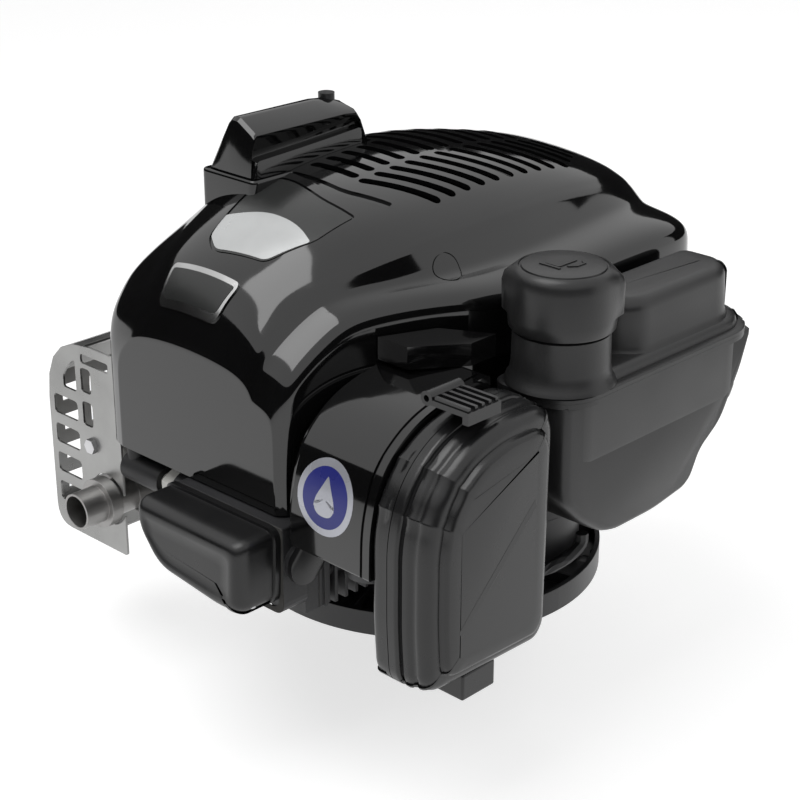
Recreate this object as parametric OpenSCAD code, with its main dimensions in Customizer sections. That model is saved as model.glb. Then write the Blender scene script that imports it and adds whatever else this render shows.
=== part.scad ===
// Small vertical-shaft gasoline engine with overhead valves.
// Origin: crankshaft axis at the mounting face. +Z up, valve cover towards -Y,
// air cleaner and fuel tank on +X, silencer on -X. Millimetres.

/* [Crank train] */
// Cylinder bore
bore = 62.3; // [60:0.1:63]
// Piston stroke
stroke = 46; // [42:0.5:47]
// Connecting rod length between centres
rod_len = 84; // [82:0.5:88]
// Height of the cylinder axis above the mounting face
cyl_z = 66; // [65:0.5:68]
// Distance from wrist pin to piston crown
crown_h = 24; // [20:0.5:28]
// Piston skirt length below the wrist pin
skirt_h = 20; // [14:0.5:22]
// Wrist pin radius
wrist_r = 7; // [6:0.25:8]
// Crankpin radius
pin_r = 9.5; // [8:0.25:10]
// Width of the rod's big end
big_w = 19; // [16:0.5:20]
// Thickness of each crank web
web_t = 13; // [10:0.5:14]
// Main journal radius
journal_r = 12.5; // [11:0.25:13]

/* [Output shaft] */
// Output shaft radius
pto_r = 11.1; // [9:0.05:12]
// Output shaft length below the mounting face
pto_len = 62; // [40:1:80]
// Keyway width
key_w = 4.76; // [3:0.01:6]
// Keyway depth
key_d = 2.4; // [1:0.1:3]
// Length of the keyway
key_len = 40; // [20:1:45]
// Radius of the tapped hole in the shaft end
end_hole_r = 4.2; // [2:0.1:5]
// Depth of the tapped hole
end_hole_l = 25; // [10:1:35]

/* [Mounting flange] */
// Flange radius
flange_r = 110; // [108:0.5:118]
// Bolt circle diameter
bolt_circle = 203.2; // [195:0.1:206]
// Number of deck bolts
deck_bolts = 3; // [3:1:4]
// Deck bolt hole radius
deck_hole_r = 4.2; // [3:0.1:5]
// Flange plate thickness
flange_t = 7; // [5:0.5:9]
// Height of the flange's outer rim
rim_h = 15; // [10:0.5:20]
// Height of the sump's parting face
sump_h = 40; // [40:0.5:41]

/* [Crankcase] */
// Outer radius of the crankcase wall
case_r = 66; // [62:0.5:66]
// Wall thickness of the castings
wall = 5; // [4:0.25:6]
// Height of the crankcase top face
case_top = 108; // [106:0.5:110]
// Thickness of the top plate
top_t = 8; // [6:0.5:9]
// Radius of the cast-iron liner outside
liner_r = 34; // [33.5:0.25:35]
// Radius of the finned barrel
barrel_r = 35.4; // [35.2:0.1:36]
// Number of cooling fins on the barrel
fin_n = 6; // [3:1:7]
// Thickness of a cooling fin
fin_t = 2.2; // [1.5:0.1:3]
// Half height of a cooling fin
fin_half = 37; // [34:0.5:38]

/* [Timing gears] */
// Gear module
gear_m = 1.75; // [1.75:0.01:1.76]
// Teeth on the crank gear
crank_teeth = 20; // [20:1:20]
// Gear face width
gear_w = 11; // [8:0.5:12]
// Backlash at the pitch circle
backlash = 0.2; // [0.1:0.02:0.4]
// Sideways offset of the camshaft and the pushrods
tap_x = 38; // [37.5:0.25:38.5]
// Cam nose radius
nose_r = 14; // [12:0.25:14.5]
// Cam base circle radius
base_r = 9; // [8:0.25:10]
// Camshaft radius
cam_r = 7; // [6:0.25:8]

/* [Valve gear] */
// Valve lift
lift = 4.5; // [3:0.25:5]
// Tappet offset above and below the cylinder axis
tap_dz = 16; // [15.5:0.25:16.5]
// Valve offset above and below the cylinder axis
valve_dz = 14; // [13.5:0.25:14.5]
// Length of each rocker arm from its pivot
rocker_arm = 18; // [17:0.25:18.5]
// Valve stem radius
stem_r = 2.75; // [2:0.05:3]
// Intake valve head radius
in_valve_r = 12.5; // [11:0.25:13]
// Exhaust valve head radius
ex_valve_r = 11; // [10:0.25:12]
// Pushrod radius
pushrod_r = 2.4; // [2:0.1:3]
// Combustion chamber depth
chamber_d = 9; // [8.5:0.25:10]
// Cylinder head thickness
head_t = 27; // [26:0.5:28]
// Gasket thickness
gasket_t = 0.8; // [0.5:0.1:1.2]
// Valve cover depth
cover_d = 29.4; // [29:0.2:32]
// Valve cover half width at its front
cover_w = 40; // [38:0.5:42]
// Valve cover wall
cover_t = 1.8; // [1.2:0.1:2.5]

/* [Flywheel and fan] */
// Flywheel rim radius
rim_r = 76; // [74:0.5:76]
// Underside of the flywheel
fly_z = 123; // [122:0.5:124]
// Depth of the flywheel rim
fly_h = 27; // [24:0.5:28]
// Number of fan blades
blade_n = 14; // [8:1:18]
// Height of the fan blades
blade_h = 21; // [14:0.5:26]
// Ring gear teeth
ring_teeth = 88; // [88:1:88]
// Ring gear module
ring_m = 1.8; // [1.8:0.01:1.82]
// Pinion teeth
pinion_teeth = 11; // [10:1:11]

/* [Blower housing] */
// Left wall of the housing
shroud_left = -120; // [-124:0.5:-118]
// Front wall of the housing
shroud_front = -153; // [-154:0.5:-152.5]
// Rear wall of the housing
shroud_rear = 172; // [168:0.5:178]
// Lower edge of the housing
shroud_low = 90.2; // [90:0.1:94]
// Wall thickness of the housing
shroud_t = 2.4; // [1.8:0.1:3]
// Middle plane of the hood
hood_mid = -38; // [-40:0.5:-36]
// Highest point of the hood
hood_top = 252; // [250:0.5:258]
// Vent slots in each of the two rows
vent_n = 10; // [6:1:10]
// Width of a vent slot
vent_w = 4.6; // [4.2:0.1:6]
// Length of a vent slot
vent_l = 46; // [30:1:48]

/* [Battery] */
// Battery pack width
batt_w = 41; // [38:0.5:44]
// Battery pack length
batt_l = 96; // [90:1:98]
// Top of the battery pack
batt_top = 277; // [268:0.5:282]
// Running clearance round the battery pack
batt_gap = 0.6; // [0.4:0.05:1]
// Travel of the battery pack out of its dock
batt_travel = 70; // [40:1:90]

/* [Air cleaner] */
// Outer face of the air cleaner cover
ac_x1 = 156; // [152:0.5:160]
// Split between air cleaner base and cover
ac_split = 124; // [122:0.5:126]
// Inner face of the air cleaner base
ac_x0 = 112; // [112:0.5:114]
// Wall of the air cleaner mouldings
ac_t = 2.2; // [1.6:0.1:3]

/* [Fuel tank] */
// Tank wall
tank_t = 2.5; // [2:0.1:3]
// Inner side of the tank
tank_x0 = 97; // [97:0.5:99]
// Outer side of the tank
tank_x1 = 146; // [144:0.5:150]
// Height of the tank's welded seam
seam_z = 154; // [150:0.5:156]
// Top of the tank
tank_top = 195; // [190:0.5:200]
// Bottom of the tank
tank_low = 61; // [58:0.5:70]
// Filler neck radius outside
neck_r = 24; // [20:0.5:25]
// Cap radius over its grips
cap_r = 36; // [34:0.5:38]
// Top of the cap
cap_top = 225; // [220:0.5:228]

/* [Silencer] */
// Outer side of the guard
guard_x = -188; // [-192:0.5:-184]
// Guard sheet thickness
guard_t = 1.5; // [1:0.1:2]
// Top of the guard
guard_top = 137; // [132:0.5:142]
// Slots up the guard
guard_n = 4; // [3:1:4]
// Outlet pipe radius
outlet_r = 11.5; // [9:0.5:13]

/* [Fits] */
// Radial running clearance of shafts in bearings
run_fit = 0.05; // [0.02:0.01:0.08]
// Gap between parts that pass each other
pass_gap = 0.3; // [0.2:0.05:0.5]

/* [Hidden] */
$fn = 64;
seal_r = pto_r + 0.2;
throw_r = stroke / 2;
wrist_y = -(throw_r + rod_len);
crown_y = wrist_y - crown_h;
deck_y = crown_y - 1;
head_y = deck_y - gasket_t;
head_top_y = head_y - head_t;
cover_y = head_top_y - gasket_t;
cover_front = cover_y - cover_d;
piston_r = bore / 2 - 0.1;
web_r = throw_r + pin_r;
big_r = pin_r + 7.5;
big_z0 = cyl_z - big_w / 2;
big_z1 = cyl_z + big_w / 2;
web_low = big_z0 - pass_gap - web_t;
web_high = big_z1 + pass_gap + web_t;
gear_z = 25;
cam_teeth = 2 * crank_teeth;
gear_dist = gear_m * (crank_teeth + cam_teeth) / 2;
cam_x = tap_x;
cam_y = sqrt(gear_dist * gear_dist - cam_x * cam_x);
cam_angle = atan2(cam_y, cam_x);
cam_case_r = gear_m * (cam_teeth / 2 + 1) + 3 + wall;
foot_y = cam_y - nose_r - pass_gap;
tap_r = 4;
push_top_y = head_top_y - 14;
pivot_x = tap_x - rocker_arm;
valve_x = tap_x - 2 * rocker_arm;
pad_r = 4;
pad_y = push_top_y - pass_gap - pad_r;
rocker_y = pad_y + 1.3;
rocker_dz = 15;
plug_y = head_y - 8;
plug_z = 72;
shaft_top = fly_z + fly_h + 16;
pinion_dist = ring_m * (ring_teeth + pinion_teeth) / 2;
motor_angle = 125;
motor_r = 21;
motor_x = pinion_dist * cos(motor_angle);
motor_y = pinion_dist * sin(motor_angle);
carb_y = -130;
carb_z = 98;
carb_r = 9;
neck_x = 122;
neck_y = -21;
batt_x = -82.5;
batt_y = -29;
dock_top = 244;
dock_low = 186;
hinge_x = ac_split - 2;
hinge_z = 12;
latch_z = 174;
stick_a = 148;
stick_in = [56, 24];
stick_out = [150, 90];
coil_a = 228;
vane_x = 40;
vane_y = -92;
brake_a = 50;
brake_r = rim_r + 12;

// ---- outlines ----
function unit(v) = v / norm(v);

// Corners rounded by quadratic curves that start r before each corner
function rounded(pts, r, n = 5) = [for (i = [0:len(pts) - 1])
    let (p = pts[i], a = pts[(i + len(pts) - 1) % len(pts)], b = pts[(i + 1) % len(pts)],
        t = is_list(r) ? r[i] : r, pa = p + unit(a - p) * t, pb = p + unit(b - p) * t)
    for (k = [0:(t > 0 ? n : 0)])
        let (s = t > 0 ? k / n : 0) (1 - s) * (1 - s) * pa + 2 * s * (1 - s) * p + s * s * pb];

// A counter-clockwise outline moved inwards by k
function inset(pts, k) = [for (i = [0:len(pts) - 1])
    let (p = pts[i], a = unit(p - pts[(i + len(pts) - 1) % len(pts)]),
        b = unit(pts[(i + 1) % len(pts)] - p), na = [-a[1], a[0]], nb = [-b[1], b[0]])
    p + (na + nb) * (k / (1 + na * nb))];

// Involute spur gear outline with 20 degree pressure angle
function inv_deg(phi) = tan(phi) * 180 / PI - phi;
function flank_deg(r, n, m, play) = 90 / n - play / (m * n) * 180 / PI / 2 + inv_deg(20)
    - inv_deg(acos(min(1, m * n * cos(20) / 2 / r)));
function gear_pts(n, m, play) =
    let (root = m * (n / 2 - 1.25), tip = m * (n / 2 + 1), low = max(root + 0.05, m * n * cos(20) / 2),
        rs = [root, low, low + (tip - low) * 0.4, low + (tip - low) * 0.75, tip])
    [for (i = [0:n - 1]) each concat(
        [for (r = rs) let (a = i * 360 / n - flank_deg(max(r, low), n, m, play)) r * [cos(a), sin(a)]],
        [for (k = [4:-1:0]) let (r = rs[k], a = i * 360 / n + flank_deg(max(r, low), n, m, play))
            r * [cos(a), sin(a)]])];

// ---- shared solids ----
module along_x(x0, x1, r, y, z) {
    translate([min(x0, x1), y, z]) rotate([0, 90, 0]) cylinder(r = r, h = abs(x1 - x0));
}
module along_y(y0, y1, r, x, z) {
    translate([x, max(y0, y1), z]) rotate([90, 0, 0]) cylinder(r = r, h = abs(y1 - y0));
}
module along_z(z0, z1, r, x = 0, y = 0) {
    translate([x, y, z0]) cylinder(r = r, h = z1 - z0);
}
module block(lo, hi) {
    translate(lo) cube(hi - lo);
}
// Outline in the Y-Z plane swept from x0 to x1
module slab_x(pts, x0, x1) {
    translate([x0, 0, 0]) rotate([90, 0, 90]) linear_extrude(x1 - x0) polygon(pts);
}
// Outline in the X-Z plane swept from y0 up to y1
module slab_y(pts, y0, y1) {
    translate([0, y1, 0]) rotate([90, 0, 0]) linear_extrude(y1 - y0) polygon(pts);
}
module slab_z(pts, z0, z1) {
    translate([0, 0, z0]) linear_extrude(z1 - z0) polygon(pts);
}
function rect(x0, y0, x1, y1) = [[x0, y0], [x1, y0], [x1, y1], [x0, y1]];

// ---- castings ----
module case_plan(k = 0) {
    circle(r = case_r - k, $fn = 96);
    translate([cam_x, cam_y]) circle(r = cam_case_r - k, $fn = 96);
}
module at_deck_bolts() {
    for (i = [0:deck_bolts - 1]) rotate(i * 360 / deck_bolts + 30) translate([bolt_circle / 2, 0, 0])
        children();
}
module sump() {
    seat_r = pto_r + 7;
    color("silver") difference() {
        union() {
            along_z(0, flange_t, flange_r);
            difference() {
                along_z(0, rim_h, flange_r);
                translate([0, 0, -1]) cylinder(r = flange_r - 3, h = rim_h + 2);
            }
            linear_extrude(sump_h) case_plan();
            for (i = [0:17]) rotate(i * 20 + 10) block([case_r - 2, -1.5, 0], [flange_r - 1, 1.5, rim_h - 1]);
        }
        difference() {
            translate([0, 0, flange_t]) linear_extrude(sump_h) case_plan(wall);
            along_z(0, gear_z - 2, seat_r + 4);
            along_z(0, gear_z - 2, cam_r + 6, cam_x, cam_y);
        }
        along_z(-1, gear_z, journal_r + run_fit);
        along_z(-1, flange_t, seat_r);
        along_z(flange_t - 2, gear_z, cam_r + run_fit, cam_x, cam_y);
        at_deck_bolts() along_z(-1, rim_h + 1, deck_hole_r);
        along_y(-30, -flange_r, barrel_r + pass_gap, 0, cyl_z);
        rotate(stick_a) translate([stick_in[0], 0, stick_in[1]]) rotate([0, stick_tilt(), 0])
            translate([0, 0, -30]) cylinder(r = 6, h = 60);
    }
}
function stick_tilt() = atan2(stick_out[0] - stick_in[0], stick_out[1] - stick_in[1]);

// Outline of the fins and the head joint; the upper right corner clears the housing
function fin_plan() = [[-46, cyl_z - fin_half], [46, cyl_z - fin_half], [46, shroud_low - 1.2],
    [37, shroud_low - 1.2], [37, cyl_z + fin_half], [-46, cyl_z + fin_half]];
module crankcase() {
    fin_y0 = deck_y + 3;
    fin_pitch = 8;
    arm_low = case_top - top_t + 1;
    color("gray") difference() {
        union() {
            difference() {
                translate([0, 0, sump_h]) linear_extrude(case_top - sump_h) case_plan();
                translate([0, 0, sump_h - 1]) linear_extrude(case_top - top_t - sump_h + 1) case_plan(wall);
            }
            along_z(case_top - top_t - 6, fly_z - 4, journal_r + 7);
            along_z(case_top - top_t - 9, case_top, cam_r + 5, cam_x, cam_y);
            along_y(-50, deck_y, barrel_r, 0, cyl_z);
            for (i = [0:fin_n - 1]) slab_y(fin_plan(), fin_y0 + i * fin_pitch, fin_y0 + i * fin_pitch + fin_t);
            slab_y(inset(fin_plan(), 1), deck_y, deck_y + 8);
            for (s = [-1, 1]) along_y(-26, deck_y, 6.2, tap_x, cyl_z + s * tap_dz);
            for (a = [180, 90]) rotate(a)
                block([case_r - 10, -11, arm_low], [(a == 180 ? -shroud_left : shroud_rear)
                    - shroud_t - pass_gap, 11, case_top]);
            rotate(coil_a) block([case_r - 10, -26, arm_low], [rim_r + 20, 26, case_top]);
            rotate(coil_a) for (s = [-1, 1]) translate([rim_r + 13, s * 19, case_top - 1])
                cylinder(r = 5, h = fly_z + 11 - case_top + 1);
            rotate(brake_a) block([case_r - 10, -9, arm_low], [brake_r + 8, 9, case_top]);
            rotate(brake_a) translate([brake_r, 0, case_top - 1]) cylinder(r = 4, h = fly_z + 16 - case_top);
            block([cam_x + cam_case_r - 8, 26, 76], [tank_x0 - 4, 48, 83]);
            block([vane_x - 6.5, vane_y - 6, arm_low], [vane_x + 5.5, -50, case_top - 0.5]);
        }
        along_z(case_top - top_t - 10, fly_z, journal_r + run_fit);
        along_z(fly_z - 10, fly_z, journal_r + 4);
        along_z(arm_low + 1.5, case_top + 1, 2.5 + run_fit, vane_x, vane_y);
        along_z(case_top - top_t - 10, case_top - 2, cam_r + run_fit, cam_x, cam_y);
        along_y(-20, deck_y - 1, liner_r, 0, cyl_z);
        intersection() {
            translate([0, 0, sump_h - 1]) linear_extrude(case_top - top_t - sump_h + 1) case_plan(wall);
            along_y(0, -49, barrel_r + 20, 0, cyl_z);
            block([-tap_x + 8, -49, 0], [tap_x - 8, 0, case_top]);
        }
        for (s = [-1, 1]) along_y(0, deck_y - 1, tap_r + run_fit, tap_x, cyl_z + s * tap_dz);
        for (x = [-1, 1]) for (z = [-1, 1]) along_y(deck_y + 30, deck_y - 1, 3.4, x * 31, cyl_z + z * 31);
    }
}
module cylinder_liner() {
    color("dimgray") difference() {
        along_y(-49, deck_y, liner_r, 0, cyl_z);
        along_y(-40, deck_y - 1, bore / 2, 0, cyl_z);
    }
}
module head_holes(y0, y1) {
    for (x = [-1, 1]) for (z = [-1, 1]) along_y(y0, y1, 3.4, x * 31, cyl_z + z * 31);
    for (s = [-1, 1]) along_y(y0, y1, tap_r + 0.6, tap_x, cyl_z + s * tap_dz);
}
function cover_plan(k = 0) = rounded([[-cover_w - 5 + k, 34 + k + 14], [-cover_w + 10 + k, 36 + k],
    [cover_w + 6 - k, 36 + k], [cover_w + 6 - k, 89 - k], [-cover_w - 5 + k, 89 - k]], [7, 7, 7, 1.5, 7]);
module gaskets() {
    color("dimgray") {
        difference() {
            slab_y(inset(fin_plan(), 1), head_y, deck_y);
            along_y(deck_y + 1, head_y - 1, bore / 2 + 0.5, 0, cyl_z);
            head_holes(deck_y + 1, head_y - 1);
        }
        difference() {
            slab_y(cover_plan(), cover_y, head_top_y);
            slab_y(cover_plan(3), cover_y - 1, head_top_y + 1);
        }
    }
}
module valve_cut(z, r) {
    along_y(head_y - chamber_d - 8, head_y + 1, r - 1.5, valve_x, z);
    along_y(head_y, head_top_y - 1, stem_r + run_fit, valve_x, z);
    along_y(head_top_y + 7, head_top_y - 1, 6.5, valve_x, z);
}
module cylinder_head() {
    port_y = head_y - chamber_d - 6.5;
    color("silver") difference() {
        union() {
            slab_y(inset(fin_plan(), 1), head_y - 10, head_y);
            slab_y(cover_plan(), head_top_y, head_y - 9);
            for (z = [-33, -27, 30, 36]) block([-46, head_y - 14, cyl_z + z - 1], [35, head_y, cyl_z + z + 1]);
            along_x(-52, -40, 11, port_y, cyl_z - valve_dz);
            along_x(-58, -40, 12, plug_y, plug_z);
            along_x(40, 49, 11, port_y, cyl_z);
            for (s = [-1, 1]) along_y(head_top_y + 1, rocker_y - 3.5, 3, pivot_x, cyl_z + s * rocker_dz);
        }
        block([-80, head_y, 0], [80, 0, 200]);
        along_y(head_y - chamber_d, head_y + 1, bore / 2 - 1.5, 0, cyl_z);
        valve_cut(cyl_z + valve_dz, in_valve_r);
        valve_cut(cyl_z - valve_dz, ex_valve_r);
        head_holes(head_y + 1, head_top_y - 1);
        along_x(-60, valve_x, 6.5, port_y, cyl_z - valve_dz);
        translate([valve_x, port_y, cyl_z + 11]) rotate([0, 90 + atan2(11, 49), 0]) cylinder(r = 6.5, h = 60);
        along_x(-59, -20, 7, plug_y, plug_z);
        for (x = [-1, 1]) for (z = [-1, 1]) along_y(head_y - 10, head_top_y - 1, 6.5, x * 31, cyl_z + z * 31);
    }
}
module valve_cover() {
    color("#1c1c1d") {
        difference() {
            union() {
                slab_y(cover_plan(), cover_y - 4, cover_y);
                slab_y(cover_plan(1), cover_front + 4, cover_y);
                slab_y(cover_plan(2), cover_front + 1.5, cover_y);
                slab_y(cover_plan(4), cover_front, cover_y);
            }
            slab_y(cover_plan(1 + cover_t), cover_front + 4 + cover_t, cover_y + 1);
            slab_y(cover_plan(1.8 + cover_t), cover_front + cover_t, cover_y);
        }
    }
}
module oil_seals() {
    color("#222222") {
        difference() {
            along_z(0.5, flange_t - 0.2, pto_r + 6.9);
            along_z(0, flange_t, seal_r + run_fit);
        }
        difference() {
            along_z(fly_z - 9.8, fly_z - 4, journal_r + 3.9);
            along_z(fly_z - 10, fly_z, journal_r + run_fit);
        }
    }
}

// ---- rotating and sliding parts ----
module web(z) {
    // Disc cut away beside the pin, so the rest is the counterweight
    difference() {
        along_z(z, z + web_t, web_r);
        for (s = [-1, 1]) translate([s * 30, -26, z - 1]) cylinder(r = 17, h = web_t + 2);
    }
}
module crankshaft() {
    color("#9a9a9c") {
        difference() {
            union() {
                along_z(-pto_len, 0, pto_r);
                along_z(0, flange_t, seal_r);
                along_z(flange_t, gear_z - 1, journal_r);
                along_z(gear_z - 1, web_low, journal_r - 1);
                web(web_low);
            }
            block([-key_w / 2, -pto_r - 1, -pto_len - 1], [key_w / 2, -pto_r + key_d, -pto_len + key_len]);
            along_z(-pto_len - 1, -pto_len + end_hole_l, end_hole_r);
        }
        web(web_high - web_t);
        along_z(web_high, fly_z, journal_r);
        along_z(fly_z, shaft_top - 12, 10);
        along_z(shaft_top - 12, shaft_top, 6);
    }
}
module crank_gear() {
    color("#7c7a76") difference() {
        translate([0, 0, gear_z]) rotate(cam_angle) linear_extrude(gear_w)
            polygon(gear_pts(crank_teeth, gear_m, backlash));
        along_z(gear_z - 1, gear_z + gear_w + 1, journal_r - 1);
    }
}
module camshaft() {
    cam_bottom = flange_t;
    color("#6e6b66") translate([cam_x, cam_y, 0]) {
        along_z(cam_bottom, case_top - 3, cam_r);
        translate([0, 0, gear_z]) rotate(cam_angle + 180 + 180 / cam_teeth) linear_extrude(gear_w)
            polygon(gear_pts(cam_teeth, gear_m, backlash));
        for (s = [-1, 1]) translate([0, 0, cyl_z + s * tap_dz - 4.5]) rotate(-90 + s * 55) linear_extrude(9) {
            circle(r = base_r);
            polygon([[0, -base_r], [nose_r - 3.6, -3.6], [nose_r - 3.6, 3.6], [0, base_r]]);
            translate([nose_r - 4, 0]) circle(r = 4);
        }
    }
}
module flywheel() {
    color("#8d9093") difference() {
        union() {
            along_z(fly_z, fly_z + fly_h, 22);
            along_z(fly_z + 10, fly_z + 16, rim_r - 2);
            difference() {
                along_z(fly_z, fly_z + fly_h, rim_r);
                along_z(fly_z - 1, fly_z + fly_h + 1, rim_r - 8);
            }
        }
        along_z(fly_z - 1, fly_z + fly_h + 1, 10);
    }
}
module ring_gear() {
    color("#6b6b6b") difference() {
        translate([0, 0, fly_z]) linear_extrude(9) polygon(gear_pts(ring_teeth, ring_m, 0.4));
        along_z(fly_z - 1, fly_z + 10, rim_r, $fn = 360);
    }
}
module cooling_fan() {
    z0 = fly_z + fly_h;
    color("#26292c") difference() {
        union() {
            along_z(z0, z0 + 2, rim_r - 3);
            for (i = [0:blade_n - 1]) rotate(i * 360 / blade_n) translate([30, 0, z0]) rotate(28)
                block([0, -1.1, 0], [48, 1.1, blade_h]);
        }
        along_z(z0 - 1, z0 + blade_h + 1, 18);
    }
}
module flywheel_nut() {
    z0 = fly_z + fly_h;
    color("#a8a8a8") difference() {
        union() {
            along_z(z0, z0 + 4, 15);
            translate([0, 0, z0 + 4]) cylinder(r = 11, h = 9, $fn = 6);
        }
        along_z(z0 - 1, z0 + 20, 6);
        along_z(z0 - 1, z0 + 4.1, 10);
    }
}
module piston() {
    color("#b9bbbd") difference() {
        along_y(wrist_y + skirt_h, crown_y, piston_r, 0, cyl_z);
        along_y(wrist_y + skirt_h + 1, crown_y + 9, piston_r - 5, 0, cyl_z);
        for (i = [0:2]) difference() {
            along_y(crown_y + 4.6 + i * 3.6, crown_y + 3 + i * 3.6, piston_r + 1, 0, cyl_z);
            along_y(crown_y + 6 + i * 3.6, crown_y + 2 + i * 3.6, piston_r - 2.8, 0, cyl_z);
        }
        along_z(0, 2 * cyl_z, wrist_r, 0, wrist_y);
    }
    color("#b9bbbd") for (s = [0, 1]) mirror_z(s) difference() {
        intersection() {
            along_z(cyl_z + big_w / 2 + 2, cyl_z + bore / 2 - 3, wrist_r + 4, 0, wrist_y);
            along_y(wrist_y + skirt_h - 1, crown_y + 9.5, piston_r - 4.9, 0, cyl_z);
        }
        along_z(0, 2 * cyl_z, wrist_r, 0, wrist_y);
    }
}
module mirror_z(s) {
    translate([0, 0, cyl_z]) mirror([0, 0, s]) translate([0, 0, -cyl_z]) children();
}
module piston_rings() {
    color("#555555") for (i = [0:2]) difference() {
        along_y(crown_y + 4.5 + i * 3.6, crown_y + 3.1 + i * 3.6, bore / 2 - 0.02, 0, cyl_z);
        along_y(crown_y + 6 + i * 3.6, crown_y + 2 + i * 3.6, piston_r - 2.7, 0, cyl_z);
    }
}
module wrist_pin() {
    half = sqrt(piston_r * piston_r) - 3;
    color("#a0a0a0") difference() {
        along_z(cyl_z - half, cyl_z + half, wrist_r, 0, wrist_y);
        along_z(0, 2 * cyl_z, wrist_r - 3, 0, wrist_y);
    }
}
module connecting_rod() {
    color("#c2c3c4") difference() {
        union() {
            along_z(cyl_z - 8, cyl_z + 8, wrist_r + 4, 0, wrist_y);
            along_z(big_z0, big_z1, big_r, 0, -throw_r);
            block([-6, wrist_y + 6, cyl_z - 5], [6, -throw_r - 6, cyl_z + 5]);
            block([-big_r - 0.5, -throw_r - 7, big_z0 + 4], [big_r + 0.5, -throw_r + 2, big_z1 - 4]);
        }
        along_z(0, 2 * cyl_z, wrist_r + run_fit, 0, wrist_y);
        along_z(0, 2 * cyl_z, pin_r + run_fit, 0, -throw_r);
        block([-40, -throw_r, 0], [40, 40, 2 * cyl_z]);
    }
}
module rod_cap() {
    color("#c2c3c4") difference() {
        union() {
            along_z(big_z0, big_z1, big_r, 0, -throw_r);
            block([-big_r - 0.5, -throw_r - 2, big_z0 + 4], [big_r + 0.5, -throw_r + 7, big_z1 - 4]);
        }
        along_z(0, 2 * cyl_z, pin_r + run_fit, 0, -throw_r);
        block([-40, -throw_r - 60, 0], [40, -throw_r, 2 * cyl_z]);
    }
}
module crankpin() {
    color("#9a9a9c") along_z(big_z0, big_z1, pin_r, 0, -throw_r);
}
module pushrod(z) {
    along_y(foot_y, foot_y - 3, 5.2, tap_x, z);
    along_y(foot_y - 2, -56, tap_r, tap_x, z);
    along_y(-55, push_top_y, pushrod_r, tap_x, z);
}
module intake_pushrod() {
    color("#8a8a8a") pushrod(cyl_z + tap_dz);
}
module exhaust_pushrod() {
    color("#8a8a8a") pushrod(cyl_z - tap_dz);
}
module rocker(z) {
    difference() {
        union() {
            block([valve_x, rocker_y - 3.5, z - 4.5], [tap_x, rocker_y + 1, z + 4]);
            along_z(z - 4.5, z + 4, 5, pivot_x, rocker_y);
            along_z(z - 4.5, z + 4, pad_r, valve_x, pad_y);
            along_z(z - 4.5, z + 4, pad_r, tap_x, pad_y);
        }
        block([pivot_x - 4, -300, z - 3.4], [pivot_x + 4, 0, z + 3.2]);
    }
}
module intake_rocker() {
    color("#8f8b80") rocker(cyl_z + rocker_dz);
}
module exhaust_rocker() {
    color("#8f8b80") rocker(cyl_z - rocker_dz);
}
module valve(z, r) {
    face_y = head_y - chamber_d + pass_gap;
    along_y(face_y + 2.2, face_y, r, valve_x, z);
    along_y(face_y + 1, push_top_y, stem_r, valve_x, z);
    // Spring and retainer
    along_y(push_top_y + 5, push_top_y + 2, 5.2, valve_x, z);
    for (i = [0:2]) translate([valve_x, push_top_y + 6 + i * 2, z]) rotate([90, 0, 0])
        rotate_extrude($fn = 32) translate([4.2, 0]) circle(r = 1, $fn = 16);
}
module intake_valve() {
    color("#77797c") valve(cyl_z + valve_dz, in_valve_r);
}
module exhaust_valve() {
    color("#77797c") valve(cyl_z - valve_dz, ex_valve_r);
}

// ---- ignition, starting, brake ----
module spark_plug() {
    color("white") {
        along_x(-58, -30, 6.9, plug_y, plug_z);
        translate([-68, plug_y, plug_z]) rotate([0, 90, 0]) cylinder(r = 11, h = 10, $fn = 6);
        along_x(-92, -67, 5, plug_y, plug_z);
        along_x(-100, -91, 2.5, plug_y, plug_z);
    }
}
module plug_boot() {
    color("#202020") difference() {
        union() {
            along_x(-108, -74, 9, plug_y, plug_z);
            along_z(plug_z, plug_z + 16, 6, -102, plug_y);
        }
        along_x(-101, -70, 5.2, plug_y, plug_z);
        along_z(plug_z + 6, plug_z + 18, 3, -102, plug_y);
    }
}
lead_pts = [[-102, -141, 79], [-102, -140, 92], [-100, -134, 102], [-94, -124, 112], [-86, -114, 122],
    [-78, -100, 131], [-72, -88, 135]];
// Ring of eight points round a route point
function ring8(p, t, r) = let (u = unit(cross(t, [0.3, 1, 0.2])), v = cross(t, u))
    [for (k = [0:7]) p + r * (u * cos(k * 45) + v * sin(k * 45))];
function smooth(p) = [for (i = [0:len(p) - 2]) for (s = [0, 1 / 3, 2 / 3])
    let (a = p[max(i - 1, 0)], b = p[i], c = p[i + 1], d = p[min(i + 2, len(p) - 1)])
    b + s * (c - a) / 2 + s * s * (a - 2.5 * b + 2 * c - d / 2) + s * s * s * (-a + 3 * b - 3 * c + d) / 2];
module tube_along(route, r) {
    p = concat(smooth(route), [route[len(route) - 1]]);
    n = len(p);
    rings = [for (i = [0:n - 1]) each ring8(p[i], unit(p[min(i + 1, n - 1)] - p[max(i - 1, 0)]), r)];
    sides = [for (i = [0:n - 2]) for (k = [0:7]) each
        let (a = i * 8 + k, b = i * 8 + (k + 1) % 8) [[a, b, b + 8], [a, b + 8, a + 8]]];
    polyhedron(points = rings, faces = concat([[for (k = [7:-1:0]) k]], sides,
        [[for (k = [0:7]) (n - 1) * 8 + k]]));
}
module plug_lead() {
    color("#1a1a1a") tube_along(lead_pts, 2.8);
}
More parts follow.
